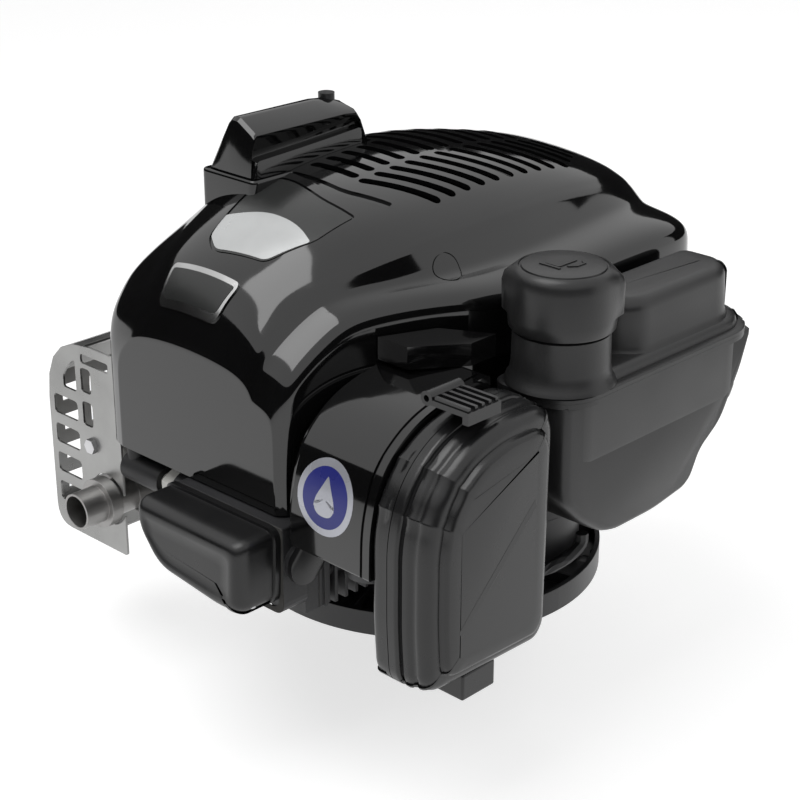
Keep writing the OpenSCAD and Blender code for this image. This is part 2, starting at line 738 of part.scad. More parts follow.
module ignition_coil() {
    z0 = fly_z + 11;
    color("#2b2b2b") rotate(coil_a) difference() {
        union() {
            block([rim_r + 8, -25, z0], [rim_r + 18, 25, z0 + 12]);
            for (y = [-25, -4, 17]) block([rim_r + 0.5, y, z0], [rim_r + 9, y + 8, z0 + 12]);
            block([rim_r + 12, -13, z0 - 4], [rim_r + 30, 13, z0 + 15]);
        }
        translate([0, 0, z0 - 5]) cylinder(r = rim_r + 0.5, h = 30);
    }
}
module starter_motor() {
    color("#303234") {
        difference() {
            union() {
                along_z(48, case_top, motor_r, motor_x, motor_y);
                hull() {
                    along_z(case_top, case_top + 3, motor_r, motor_x, motor_y);
                    rotate(motor_angle) along_z(case_top, case_top + 3, 14, case_r - 20, 0);
                }
            }
            along_z(52, case_top + 4, 4.6, motor_x, motor_y);
        }
    }
}
module starter_pinion() {
    z0 = case_top + 4;
    color("#8b8b8b") translate([motor_x, motor_y, 0]) {
        along_z(54, z0 + 1, 4.55);
        translate([0, 0, z0]) linear_extrude(fly_z - 1.5 - z0) polygon(gear_pts(pinion_teeth, ring_m, 0.4));
    }
}
module brake_lever() {
    z0 = fly_z + 10.5;
    color("#9b9b9b") rotate(brake_a) difference() {
        union() {
            hull() {
                translate([brake_r, 0, z0]) cylinder(r = 7, h = 3, $fn = 32);
                translate([brake_r - 2, 34, z0]) cylinder(r = 4, h = 3, $fn = 32);
            }
            translate([brake_r, 0, z0]) cylinder(r = 7, h = 4);
        }
        translate([brake_r, 0, z0 - 1]) cylinder(r = 4 + run_fit, h = 6);
        translate([0, 0, z0 - 1]) cylinder(r = rim_r + 0.5, h = 6);
    }
}
module brake_pad() {
    z0 = fly_z + 13.5;
    color("#3a3532") rotate(brake_a) difference() {
        block([rim_r - 2, 20, z0], [rim_r + 9, 38, z0 + 9]);
        translate([0, 0, z0 - 1]) cylinder(r = rim_r + pass_gap, h = 11);
    }
}

// ---- blower housing ----
// Plan, side and cross outlines; the housing is what all three share
plan_pts = [[-100, shroud_front], [33, shroud_front], [40, shroud_front + 7], [49, -102], [66, -62], [84, -30],
    [89, 30], [92, 137], [58, shroud_rear], [-50, shroud_rear], [shroud_left, 62], [shroud_left, -134]];
side_pts = [[shroud_front, 60], [shroud_rear, 60], [shroud_rear, 204], [158, 224], [118, 240], [70, hood_top - 3],
    [20, hood_top], [-30, hood_top - 3], [-70, 242], [-100, 231], [-124, 217], [-140, 202], [-150, 184],
    [shroud_front, 168]];
cross_pts = [[shroud_left, 60], [92, 60], [92, 170], [84, 190], [64, 202], [47, 211], [39, 229], [20, 240],
    [-5, 249], [hood_mid, hood_top], [-70, 248], [-95, 238], [-112, 222], [shroud_left, 195]];
module housing_solid(k) {
    intersection() {
        slab_z(inset(plan_pts, k), 50, hood_top + 10);
        slab_x(inset(side_pts, k), -200, 200);
        slab_y(inset(cross_pts, k), -200, 200);
    }
}
module vents() {
    for (s = [-1, 1]) for (i = [0:vent_n - 1])
        translate([hood_mid + s * 32, -44 + i * 15, hood_top - 30]) rotate(s * 24)
            block([-vent_l / 2 + abs(i - 4.5), -vent_w / 2, -10], [vent_l / 2 - abs(i - 4.5), vent_w / 2, 50]);
}
module dock_hole(k) {
    block([batt_x - batt_w / 2 - k, batt_y - batt_l / 2 - k, dock_low - k],
        [batt_x + batt_w / 2 + k, batt_y + batt_l / 2 + k, batt_top + 20]);
}
module shroud() {
    color("#0d0d0e") difference() {
        housing_solid(0);
        housing_solid(shroud_t);
        block([-200, -200, 40], [200, 200, shroud_low]);
        vents();
        dock_hole(batt_gap + 2.4 + pass_gap);
    }
}
module emblem() {
    // Plain shield-shaped plate on the sloping nose of the hood
    color("#b5b6b8") translate([hood_mid, -132, 209.6]) rotate([43, 0, 0]) translate([0, 0, 0.1])
        linear_extrude(1.2) polygon(rounded(rect(-17, -8, 17, 8), 6));
}
module label_panel() {
    color("#5a5c5f") translate([hood_mid + 4, -114, 222.9]) rotate([30.2, 0, 0]) translate([0, 0, 0.1])
        linear_extrude(0.8) polygon(rounded(rect(-24, -10, 30, 10), 4));
}
module battery_dock() {
    k = batt_gap + 2.4;
    color("#151516") difference() {
        block([batt_x - batt_w / 2 - k, batt_y - batt_l / 2 - k, dock_low],
            [batt_x + batt_w / 2 + k, batt_y + batt_l / 2 + k, dock_top]);
        translate([0, 0, 3]) dock_hole(batt_gap);
    }
}
module battery_pack() {
    z0 = dock_low + 3.3;
    x0 = batt_x - batt_w / 2;
    x1 = batt_x + batt_w / 2;
    y0 = batt_y - batt_l / 2;
    y1 = batt_y + batt_l / 2;
    color("#1a1b1c") difference() {
        intersection() {
            slab_x([[y0, z0], [y1, z0], [y1, 256], [y1 - 8, batt_top - 4], [y0 + 4, batt_top], [y0, 270]], x0, x1);
            slab_y([[x0, z0], [x1, z0], [x1, 258], [x1 - 3, 269], [x1 - 17, batt_top], [x0 + 17, batt_top],
                [x0, 244]], y0, y1);
        }
        translate([batt_x, batt_y + 30, batt_top - 10]) cylinder(r = 5.4, h = 30);
    }
}
module release_button() {
    color("#2a2a2a") along_z(batt_top - 6, batt_top + 1.5, 5, batt_x, batt_y + 30);
}

// ---- intake ----
module intake_manifold() {
    x0 = 50;
    port_y = head_y - chamber_d - 6.5;
    color("#222222") difference() {
        hull() {
            along_x(x0, x0 + 3, 12, port_y, cyl_z);
            along_x(57, 60, 12, carb_y, carb_z);
        }
        hull() {
            along_x(x0 - 1, x0 + 0.5, 7, port_y, cyl_z);
            along_x(59.5, 61, 8, carb_y, carb_z);
        }
    }
}
module carburettor() {
    color("#a9a9a6") difference() {
        union() {
            along_x(60, ac_x0, 13, carb_y, carb_z);
            along_z(carb_z - 32, carb_z - 4, 14, 84, carb_y);
            along_z(carb_z - 8, carb_z + 18, 5, 70, carb_y);
        }
        along_x(59, ac_x0 + 1, carb_r, carb_y, carb_z);
        along_z(carb_z - 14, carb_z + 19, 2.5 + run_fit, 70, carb_y);
    }
}
module throttle_shaft() {
    color("#b3a15a") {
        along_z(carb_z - 13.5, carb_z + 22, 2.5, 70, carb_y);
        intersection() {
            along_y(carb_y - 0.6, carb_y + 0.6, carb_r - 0.3, 70, carb_z);
            block([60, carb_y - 2, 80], [80, carb_y + 2, 116]);
        }
        translate([70, carb_y, carb_z + 18.3]) block([-3, -3, 0], [3, 16, 2]);
    }
}
module governor_vane() {
    color("#c9c7bd") {
        along_z(case_top - top_t + 3, case_top + 22, 2.5, vane_x, vane_y);
        translate([vane_x, vane_y, case_top + 8]) block([-24, -0.8, 0], [0, 0.8, 14]);
        translate([vane_x, vane_y, case_top + pass_gap]) block([-3, -9, 0], [3, 3, 2]);
    }
}
duct_x0 = 49.5;
duct_prof = [[-160, 81], [-66, 81], [-66, 171], [-96, 168], [-112, 165], [-126, 160], [-139, 152], [-148, 140],
    [-155, 126], [-159, 110]];
function duct_plan(k) = [[duct_x0 + k, -170], [ac_x0 + 3 * k, -170], [ac_x0 + 3 * k, -50], [75 + k, -50],
    [68 + k, -62], [51 + k, -102], [duct_x0 + k, -110]];
module duct_cover() {
    color("#101011") difference() {
        intersection() {
            slab_x(duct_prof, duct_x0, ac_x0);
            slab_z(duct_plan(0), 0, 300);
        }
        intersection() {
            slab_x(inset(duct_prof, 2), duct_x0 - 10, ac_x0 + 10);
            slab_z(duct_plan(2), 0, 300);
        }
        block([duct_x0 - 1, -158, 60], [ac_x0 + 20, 0, 86]);
        block([30, -69, 60], [ac_x0 + 20, 0, 300]);
    }
}
module intake_duct() {
    color("#121213") slab_z([[54, -94], [68, -61.5], [tank_x0 - 0.3, -46], [tank_x0 - 0.3, -66], [76, -94]], 171, 184);
}
ac_prof = [[-152, 23], [-64, 21], [-58, 28], [-56, 156], [-63, 164], [-90, 166], [-115, 163], [-136, 152],
    [-150, 136], [-158, 115], [-159.5, 66], [-157, 31]];
module air_cleaner_base() {
    color("#191a1b") difference() {
        union() {
            difference() {
                slab_x(ac_prof, ac_x0, ac_split);
                slab_x(inset(ac_prof, ac_t), ac_x0 + 3, ac_split + 1);
            }
            for (y = [-122, -92]) block([hinge_x - 4, y - 3, hinge_z - 4], [hinge_x + 1.5, y + 3, 26]);
            along_y(-92 + 3, -122 - 3, 2.5, hinge_x, hinge_z);
            block([ac_x0, -124, 156], [ac_x0 + 6, -121, latch_z + 3]);
            block([ac_x0, -95, 162], [ac_x0 + 6, -92, latch_z + 3]);
            along_y(-93, -122, 1.8, ac_x0 + 3, latch_z);
        }
        along_x(ac_x0 - 1, ac_x0 + 4, carb_r + 1, carb_y, carb_z);
    }
}
module air_filter() {
    color("#d8d2bf") difference() {
        slab_x(inset(ac_prof, 9), ac_x0 + 3, ac_split + 14);
        slab_x(rounded(rect(-140, 40, -76, 134), 6), ac_x0 + 2, ac_split + 8);
    }
}
module air_cleaner_cover() {
    color("#1c1d1e") difference() {
        union() {
            slab_x(ac_prof, ac_split + pass_gap, ac_split + 10);
            slab_x(inset(ac_prof, 1), ac_split + pass_gap, ac_x1 - 12);
            slab_x(inset(ac_prof, 2.5), ac_split + pass_gap, ac_x1 - 5);
            slab_x(inset(ac_prof, 6), ac_split + pass_gap, ac_x1);
            block([hinge_x - 4, -116, hinge_z - 5], [hinge_x + 4, -98, hinge_z + 5]);
            block([hinge_x + 3, -116, hinge_z - 5], [ac_x1 - 16, -98, 26]);
        }
        slab_x(inset(ac_prof, 2.5 + ac_t), ac_split - 1, ac_x1 - 5 - ac_t);
        along_y(-90, -125, 2.5 + run_fit, hinge_x, hinge_z);
    }
}
module cover_latch() {
    color("#1c1d1e") difference() {
        union() {
            along_y(-95.5, -120.5, 4, ac_x0 + 3, latch_z);
            block([ac_x0 + 3, -120.5, latch_z - 3], [ac_split + 20, -95.5, latch_z]);
            for (i = [0:4]) block([ac_x0 + 8, -119.6 + i * 5.2, latch_z - 1], [ac_split + 19, -117.6 + i * 5.2,
                latch_z + 2]);
            block([ac_split + 16, -120.5, 167], [ac_split + 20, -95.5, latch_z - 1]);
        }
        along_y(-80, -130, 1.8 + run_fit, ac_x0 + 3, latch_z);
    }
}

// ---- fuel ----
tank_plan = [[tank_x0, -43], [tank_x1, -43], [tank_x1, 118], [tank_x1 - 14, 132], [tank_x0 + 4, 132], [tank_x0, 126]];
top_plan = [[tank_x0, 13], [neck_x + 2, 13], [tank_x1 - 4, 24], [tank_x1 - 8, 112], [tank_x1 - 20, 122], [tank_x0, 122]];
module tank_upper() {
    color("#26282a") difference() {
        union() {
            slab_z(tank_plan, seam_z, seam_z + 4);
            slab_z(inset(tank_plan, -4), seam_z, seam_z + 2.5);
            slab_z(inset(tank_plan, 1.5), seam_z, seam_z + 10);
            slab_z(top_plan, seam_z, tank_top);
            along_z(seam_z, cap_top - 38, neck_r + 3, neck_x, neck_y);
            along_z(seam_z, cap_top - 20, neck_r, neck_x, neck_y);
        }
        slab_z(inset(tank_plan, 1.5 + tank_t), seam_z - 1, seam_z + 10 - tank_t);
        slab_z(inset(top_plan, tank_t), seam_z - 1, tank_top - tank_t);
        along_z(seam_z - 1, cap_top, neck_r - 4, neck_x, neck_y);
    }
}
tank_side = [[-43, seam_z], [-43, 96], [-22, 76], [0, tank_low], [42, tank_low], [76, 66], [86, 86], [106, 100],
    [124, 132], [132, seam_z]];
module tank_body(k) {
    intersection() {
        slab_x(inset(tank_side, k), tank_x0 - 10, tank_x1 + 10);
        slab_z(inset(tank_plan, k), 0, seam_z + (k > 0 ? 5 : 0));
    }
}
module tank_lower() {
    color("#26282a") {
        difference() {
            union() {
                tank_body(0);
                slab_z(inset(tank_plan, -4), seam_z - 3, seam_z);
                block([cam_x + cam_case_r + 1, 26, 83], [tank_x0 + 1, 48, 88]);
                along_z(tank_low - 12, tank_low + 1, 6, 116, 12);
            }
            tank_body(tank_t);
            slab_z(inset(tank_plan, tank_t), seam_z - 6, seam_z + 1);
            along_z(tank_low - 20, tank_low + 5, 3, 116, 12);
        }
    }
}
module cap_gasket() {
    color("#222222") difference() {
        along_z(cap_top - 20 + pass_gap, cap_top - 17, neck_r, neck_x, neck_y);
        along_z(cap_top - 30, cap_top, neck_r - 5, neck_x, neck_y);
    }
}
module fuel_cap() {
    z0 = cap_top - 36;
    inner_r = neck_r + 0.6;
    color("#1b1c1d") difference() {
        union() {
            along_z(z0, cap_top - 3, cap_r - 6, neck_x, neck_y);
            along_z(z0 + 1, cap_top, cap_r - 11, neck_x, neck_y);
            translate([neck_x, neck_y, 0]) for (s = [0, 180]) rotate(s + 35) translate([cap_r - 14, 0, z0 + 8])
                cylinder(r = 14, h = cap_top - 14 - z0);
        }
        along_z(z0 - 1, cap_top - 17 + pass_gap, inner_r, neck_x, neck_y);
    }
}
hose_pts = [[116, 12, 48.7], [116, 11, 42], [114, 2, 36], [108, -14, 31], [98, -36, 32], [88, -62, 40],
    [85, -88, 56], [84, -104, 66], [84, -115, 70]];
module fuel_hose() {
    color("#191919") tube_along(hose_pts, 3.8);
}

// ---- exhaust ----
guard_bolts = [[-146, 72]];
guard_y = -141;
guard_back = -92;
spacer_x = -131;
spacer_z = 104;
muffler_y = -126;
module muffler() {
    box_pts = rounded(rect(-150, 32, -84, 84), 12);
    port_y = head_y - chamber_d - 6.5;
    color("#8a8784") difference() {
        union() {
            slab_y(box_pts, muffler_y, -62);
            for (y = [muffler_y, -64]) slab_y(inset(box_pts, -2.5), y, y + 2);
            along_y(-166, muffler_y + 1, outlet_r, -133, 40);
            along_y(-150, -142, outlet_r + 4, -133, 40);
            along_y(guard_y + guard_t, muffler_y + 1, 4.5, guard_bolts[0][0], guard_bolts[0][1]);
            along_y(guard_y + guard_t, muffler_y - 2, 9, spacer_x, spacer_z);
            block([spacer_x - 9, muffler_y - 2, 70], [spacer_x + 8.5, muffler_y, spacer_z + 9]);
            translate([-58.5, port_y + 2, cyl_z - valve_dz]) rotate([0, -90, -40]) cylinder(r = 8, h = 42);
            block([-56, port_y - 17, cyl_z - valve_dz - 9], [-52, port_y + 15, cyl_z - valve_dz + 8]);
        }
        along_y(-170, muffler_y + 10, outlet_r - 1.5, -133, 40);
        slab_y(inset(box_pts, 1.5), muffler_y + 2, -64);
        along_y(guard_y, muffler_y - 1, 7.5, spacer_x, spacer_z);
    }
}
guard_plan = rounded([[guard_x, 6], [-118, 6], [-118, guard_top], [guard_x, guard_top]], [14, 2, 6, 44]);
module muffler_guard() {
    color("#b9babb") difference() {
        slab_y(guard_plan, guard_y, guard_back);
        slab_y(inset(guard_plan, guard_t), guard_y + guard_t, guard_back + 1);
        block([-151, guard_y + guard_t, 0], [-100, 0, 200]);
        for (i = [0:guard_n - 1]) {
            slab_y(rounded(rect(guard_x + 5, 24 + i * 20, -159, 37 + i * 20), 3), guard_y - 1, guard_y + 3);
            for (y = [guard_y + 9, guard_y + 30]) block([-200, y, 27 + i * 20], [-180, y + 15, 38 + i * 20]);
        }
        slab_y(rounded([[-172, 104], [-159, 104], [-159, 125], [-164, 122], [-172, 112]], 2), guard_y - 1, guard_y + 3);
        for (z = [84, 106]) slab_y(rounded(rect(-154, z, -144, z + 16), 3), guard_y - 1, guard_y + 3);
        slab_y(rounded(rect(-153, 124 + 1, -126, 131), 2), guard_y - 1, guard_y + 3);
        along_y(guard_y - 9, guard_y + 9, outlet_r + 5, -133, 40);
    }
}

// ---- oil filling ----
module tube_frame() {
    rotate(stick_a) translate([stick_in[0], 0, stick_in[1]]) rotate([0, stick_tilt(), 0]) children();
}
stick_len = norm(stick_out - stick_in);
module oil_tube() {
    color("#1b1b1b") tube_frame() difference() {
        translate([0, 0, -6]) cylinder(r = 5.9, h = 27);
        translate([0, 0, -7]) cylinder(r = 4.5, h = 30);
    }
    color("#1b1b1b") tube_frame() difference() {
        translate([0, 0, 20]) cylinder(r = 8, h = stick_len - 20);
        translate([0, 0, 4]) cylinder(r = 4.5, h = stick_len);
    }
}
module dipstick() {
    color("#1d1d1d") tube_frame() {
        translate([0, 0, 4]) cylinder(r = 1.5, h = stick_len);
        translate([0, 0, stick_len - 14]) cylinder(r = 4.4, h = 15);
        translate([0, 0, stick_len + pass_gap]) cylinder(r = 11, h = 8);
        translate([0, 0, stick_len + 8]) block([-9, -2.5, 0], [9, 2.5, 12]);
    }
}

// ---- fasteners ----
module fasteners() {
    color("#8e8f90") {
        for (x = [-1, 1]) for (z = [-1, 1]) {
            along_y(deck_y + 20, head_y - 10, 3.3, x * 31, cyl_z + z * 31);
            translate([x * 31, head_y - 10, cyl_z + z * 31]) rotate([90, 0, 0]) rotate(30) cylinder(r = 5.6, h = 3.8, $fn = 6);
        }
        translate([89, 37, 88]) cylinder(r = 5, h = 2, $fn = 6);
        rotate(motor_angle) translate([case_r - 24, 0, case_top + 3]) cylinder(r = 6, h = 4, $fn = 6);
        rotate(coil_a) for (s = [-1, 1]) translate([rim_r + 13, s * 19, fly_z + 23]) cylinder(r = 4, h = 4);
        translate([guard_bolts[0][0], guard_y, guard_bolts[0][1]]) rotate([90, 0, 0]) cylinder(r = 5, h = 3, $fn = 6);
    }
}

sump();
crankcase();
cylinder_liner();
gaskets();
cylinder_head();
valve_cover();
oil_seals();
crankshaft();
crank_gear();
flywheel();
ring_gear();
cooling_fan();
flywheel_nut();
camshaft();
piston();
piston_rings();
wrist_pin();
connecting_rod();
rod_cap();
crankpin();
intake_pushrod();
exhaust_pushrod();
intake_rocker();
exhaust_rocker();
intake_valve();
exhaust_valve();
spark_plug();
plug_boot();
plug_lead();
ignition_coil();
starter_motor();
starter_pinion();
brake_lever();
brake_pad();
shroud();
emblem();
label_panel();
battery_dock();
battery_pack();
release_button();
intake_manifold();
carburettor();
throttle_shaft();
governor_vane();
duct_cover();
intake_duct();
air_cleaner_base();
air_filter();
air_cleaner_cover();
cover_latch();
tank_upper();
tank_lower();
cap_gasket();
fuel_cap();
fuel_hose();
muffler();
muffler_guard();
oil_tube();
dipstick();
fasteners();
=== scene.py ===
import math
import bmesh
import bpy
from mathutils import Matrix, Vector
from mathutils.bvhtree import BVHTree


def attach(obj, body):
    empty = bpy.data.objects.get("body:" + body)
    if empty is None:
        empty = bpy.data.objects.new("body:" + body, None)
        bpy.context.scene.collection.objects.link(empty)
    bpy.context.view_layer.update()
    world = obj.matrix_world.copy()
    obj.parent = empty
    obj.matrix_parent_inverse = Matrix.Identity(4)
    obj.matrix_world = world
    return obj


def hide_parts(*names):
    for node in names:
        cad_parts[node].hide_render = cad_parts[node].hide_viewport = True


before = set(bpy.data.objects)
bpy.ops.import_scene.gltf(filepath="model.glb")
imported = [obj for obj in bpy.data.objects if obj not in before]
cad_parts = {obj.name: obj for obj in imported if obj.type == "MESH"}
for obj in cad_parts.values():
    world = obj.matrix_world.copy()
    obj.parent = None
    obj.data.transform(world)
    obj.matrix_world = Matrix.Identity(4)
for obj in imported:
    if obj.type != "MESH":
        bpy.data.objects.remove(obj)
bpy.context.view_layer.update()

# ---- Crankcase, cylinder and mounting flange ----
# Aluminium die castings: the flange is painted satin black, the crankcase and
# cylinder are left as cast. They are bolted together round the crankshaft. The
# crankcase and cylinder head are coloured near black: painted shade for the
# shadow they sit in.
def finish(name, colour, rough, metal=0.0, grain=900.0, depth=0.00002, mottle=0.2, edge=0.0, ior=1.5):
    mat = bpy.data.materials.new(name)
    mat.use_nodes = True
    nt = mat.node_tree
    shader = nt.nodes["Principled BSDF"]
    shader.inputs["Metallic"].default_value = metal
    shader.inputs["IOR"].default_value = ior
    where = nt.nodes.new("ShaderNodeTexCoord")
    fine = nt.nodes.new("ShaderNodeTexNoise")
    fine.inputs["Scale"].default_value = grain
    fine.inputs["Detail"].default_value = 3.0
    broad = nt.nodes.new("ShaderNodeTexNoise")
    broad.inputs["Scale"].default_value = 22.0
    broad.inputs["Detail"].default_value = 6.0
    bump = nt.nodes.new("ShaderNodeBump")
    bump.inputs["Distance"].default_value = depth
    tint = nt.nodes.new("ShaderNodeValToRGB")
    for stop, k in zip(tint.color_ramp.elements, (1 - mottle, 1 + mottle)):
        stop.color = (*[min(1.0, c * k) for c in colour], 1)
    tint.color_ramp.elements[0].position = 0.3
    tint.color_ramp.elements[1].position = 0.7
    sheen = nt.nodes.new("ShaderNodeMapRange")
    sheen.inputs["From Min"].default_value = 0.3
    sheen.inputs["From Max"].default_value = 0.7
    sheen.inputs["To Min"].default_value = rough * 0.82
    sheen.inputs["To Max"].default_value = min(1.0, rough * 1.2)
    link = nt.links.new
    link(where.outputs["Object"], fine.inputs["Vector"])
    link(where.outputs["Object"], broad.inputs["Vector"])
    link(fine.outputs["Fac"], bump.inputs["Height"])
    link(broad.outputs["Fac"], tint.inputs["Fac"])
    link(broad.outputs["Fac"], sheen.inputs["Value"])
    link(tint.outputs["Color"], shader.inputs["Base Color"])
    link(sheen.outputs["Result"], shader.inputs["Roughness"])
    link(bump.outputs["Normal"], shader.inputs["Normal"])
    if edge:
        soft = nt.nodes.new("ShaderNodeBevel")
        soft.samples = 4
        soft.inputs["Radius"].default_value = edge
        link(soft.outputs["Normal"], bump.inputs["Normal"])
    return mat

def dress(mat, *nodes):
    for n in nodes:
        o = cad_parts[n]
        if not o.material_slots:
            o.data.materials.append(mat)
        for s in o.material_slots:
            s.material = mat

flange_paint = finish("flange_paint", (0.013, 0.013, 0.014), 0.36, grain=700, depth=0.00006, edge=0.0008)
bare_casting = finish("bare_casting", (0.33, 0.335, 0.34), 0.5, metal=0.7, grain=500, depth=0.00012, edge=0.0006)
# The crankcase and cylinder head get a near-black colour: painted shade, not a paint the bare metal carries.
case_painted_shade = finish("case_painted_shade", (0.03, 0.03, 0.032), 0.45, grain=500, depth=0.00012, edge=0.0006)
dress(flange_paint, "sump")
dress(case_painted_shade, "crankcase", "cylinder_head")

# ---- Running gear ----
# Forged and ground steel shafts and gears, a cast aluminium piston and rod,
# and an iron liner. They run inside the crankcase and show through its openings.
ground_steel = finish("ground_steel", (0.5, 0.5, 0.51), 0.25, metal=1.0, grain=1500, depth=0.000006, edge=0.0004)
cast_iron = finish("cast_iron", (0.12, 0.12, 0.12), 0.55, metal=0.6, grain=600, depth=0.0001, edge=0.0004)
dress(ground_steel, "crankshaft", "crank_gear", "ring_gear", "flywheel_nut", "wrist_pin", "crankpin",
      "intake_pushrod", "exhaust_pushrod", "intake_rocker", "exhaust_rocker", "intake_valve",
      "exhaust_valve", "starter_pinion", "brake_lever")
dark_casting = finish("dark_casting", (0.09, 0.09, 0.092), 0.5, metal=0.5, grain=500, depth=0.00012, edge=0.0006)
dress(dark_casting, "carburettor")
dress(cast_iron, "cylinder_liner", "camshaft", "piston_rings")
dress(bare_casting, "piston", "connecting_rod", "rod_cap", "flywheel")
dress(finish("gasket_fibre", (0.06, 0.058, 0.055), 0.8, grain=1200, depth=0.00005), "gaskets")
dress(finish("seal_rubber", (0.012, 0.012, 0.012), 0.6, grain=800), "oil_seals", "cap_gasket")
dress(finish("fan_plastic", (0.02, 0.021, 0.023), 0.5, grain=800, depth=0.00005, edge=0.0004), "cooling_fan")
dress(finish("brass", (0.6, 0.42, 0.16), 0.3, metal=1.0, grain=1500), "throttle_shaft")
dress(finish("brake_lining", (0.04, 0.03, 0.025), 0.9, grain=500, depth=0.0002), "brake_pad")
dress(finish("vane_plastic", (0.5, 0.48, 0.43), 0.5), "governor_vane")

# ---- Ignition and starter ----
# A porcelain plug under a rubber boot with its lead, a potted coil and the
# electric starter, all fixed to the crankcase under the housing.
dress(finish("glazed_porcelain", (0.75, 0.74, 0.7), 0.15), "spark_plug")
boot_rubber = finish("boot_rubber", (0.011, 0.011, 0.012), 0.5, grain=700, depth=0.00005)
dress(boot_rubber, "plug_boot", "plug_lead", "fuel_hose")
dress(finish("coil_resin", (0.015, 0.015, 0.016), 0.5, edge=0.0005), "ignition_coil")
dress(flange_paint, "starter_motor")

# ---- Valve cover ----
# A black moulded cap with one long cut corner and a softened face, screwed
# over the rockers. A plain framed field lies in the middle of its face.
def rounded(pts, r, n=6):
    out = []
    for i, p in enumerate(pts):
        p, a, b = Vector(p), Vector(pts[i - 1]), Vector(pts[(i + 1) % len(pts)])
        t = r[i] if isinstance(r, (list, tuple)) else r
        if t == 0:
            out.append(tuple(p))
            continue
        pa, pb = p + (a - p).normalized() * t, p + (b - p).normalized() * t
        for k in range(n + 1):
            s = k / n
            out.append(tuple(pa * (1 - s) ** 2 + p * (2 * s * (1 - s)) + pb * s * s))
    return out

def inset(pts, k):
    # Moves the loop in by k: square to its sides at first, then by drawing it together
    near, out = min(k, 1.2), []
    for i, p in enumerate(pts):
        p = Vector(p)
        a = (p - Vector(pts[i - 1])).normalized()
        b = (Vector(pts[(i + 1) % len(pts)]) - p).normalized()
        na, nb = Vector((-a.y, a.x)), Vector((-b.y, b.x))
        out.append(tuple(p + (na + nb) * (near / max(0.3, 1 + na.dot(nb)))))
    for axis in (0, 1):
        low, high = min(p[axis] for p in out), max(p[axis] for p in out)
        f = 1 - 2 * (k - near) / (high - low)
        out = [tuple((low + high) / 2 + (v - (low + high) / 2) * f if i == axis else v for i, v in enumerate(p)) for p in out]
    return out

def place(plane, p, h):
    return {"x": (h, p[0], p[1]), "y": (p[0], h, p[1]), "z": (p[0], p[1], h)}[plane]

def roll(k0, h0, k1, h1, n=5):
    # A quarter round from a wall at (k0, h0) over to a face at (k1, h1)
    return [(k0 + (k1 - k0) * (1 - math.cos(t)), h0 + (h1 - h0) * math.sin(t))
            for t in [math.pi / 2 * i / n for i in range(n + 1)]]

def shell(name, loops, mat, body, sharp=38, caps=(True, True)):
    bm = bmesh.new()
    rows = [[bm.verts.new(Vector(p) * 0.001) for p in loop] for loop in loops]
    for a, b in zip(rows, rows[1:]):
        for i in range(len(a)):
            bm.faces.new((a[i - 1], a[i], b[i], b[i - 1]))
    if caps[0]:
        bm.faces.new(rows[0])
    if caps[1]:
        bm.faces.new(rows[-1])
    bmesh.ops.remove_doubles(bm, verts=bm.verts, dist=0.00002)
    bmesh.ops.recalc_face_normals(bm, faces=bm.faces)
    return piece(name, bm, mat, body, sharp)

def piece(name, bm, mat, body, sharp=38):
    me = bpy.data.meshes.new(name)
    bm.to_mesh(me)
    bm.free()
    me.shade_smooth()
    me.set_sharp_from_angle(angle=math.radians(sharp))
    me.materials.append(mat)
    o = bpy.data.objects.new(name, me)
    bpy.context.collection.objects.link(o)
    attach(o, body)
    return o

def moulding(name, plane, pts, steps, mat, body, sharp=38):
    return shell(name, [[place(plane, p, h) for p in inset(pts, k)] for k, h in steps], mat, body, sharp)

cover_black = finish("cover_black", (0.007, 0.007, 0.0075), 0.33, grain=1100, depth=0.00003)
cover_out = rounded([(-46, 74), (-28, 49), (30, 41.5), (44, 44), (46, 89.5), (-46, 89.5)], [9, 12, 10, 7, 9, 6])
valve_cover = moulding("valve_cover_cap", "y", cover_out,
    [(4, -186), (4, -160.7), (0, -160.7), (0, -164.5), (1.4, -165), (1.4, -178)] + roll(1.4, -180, 8, -190, 8)[0:]
    + [(10.5, -190), (11.5, -189.4), (18, -189.4)], cover_black, "engine", 50)
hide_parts("valve_cover")

# ---- Silencer, outlet and guard ----
# A seamed box of aluminised sheet with its outlet pipe, behind a pressed
# guard of bright steel with rows of slots, screwed on through spacers.
silencer_sheet = finish("silencer_sheet", (0.3, 0.295, 0.29), 0.38, metal=1.0, grain=700, depth=0.00005, mottle=0.3, edge=0.0006)
guard_sheet = finish("guard_sheet", (0.32, 0.32, 0.315), 0.3, metal=1.0, grain=900, depth=0.00003, mottle=0.16, edge=0.0005)
dress(silencer_sheet, "muffler")
dress(guard_sheet, "muffler_guard")
dress(ground_steel, "fasteners")
dress(cover_black, "intake_manifold", "oil_tube")
dress(finish("dipstick_grip", (0.016, 0.016, 0.017), 0.4, edge=0.0005), "dipstick")

# ---- Blower housing ----
# One injection moulding in high-gloss black. A raised hood with a hard edge
# line runs over it, and its lower skirt fits round the flywheel.
gloss_black = finish("gloss_black", (0.004, 0.004, 0.0042), 0.07, grain=60, depth=0.000012, mottle=0.1, ior=1.62)

def along(table, y):
    # Smooth value at y from a table of (y, value)
    if y <= table[0][0]:
        return table[0][1]
    for i in range(len(table) - 1):
        (a, va), (b, vb) = table[i], table[i + 1]
        if y <= b:
            t = (y - a) / (b - a)
            before = table[max(i - 1, 0)]
            after = table[min(i + 2, len(table) - 1)]
            ma = (vb - before[1]) / (b - before[0]) * (b - a)
            mb = (after[1] - va) / (after[0] - a) * (b - a)
            return ((2 * t**3 - 3 * t**2 + 1) * va + (t**3 - 2 * t**2 + t) * ma
                    + (3 * t**2 - 2 * t**3) * vb + (t**3 - t**2) * mb)
    return table[-1][1]

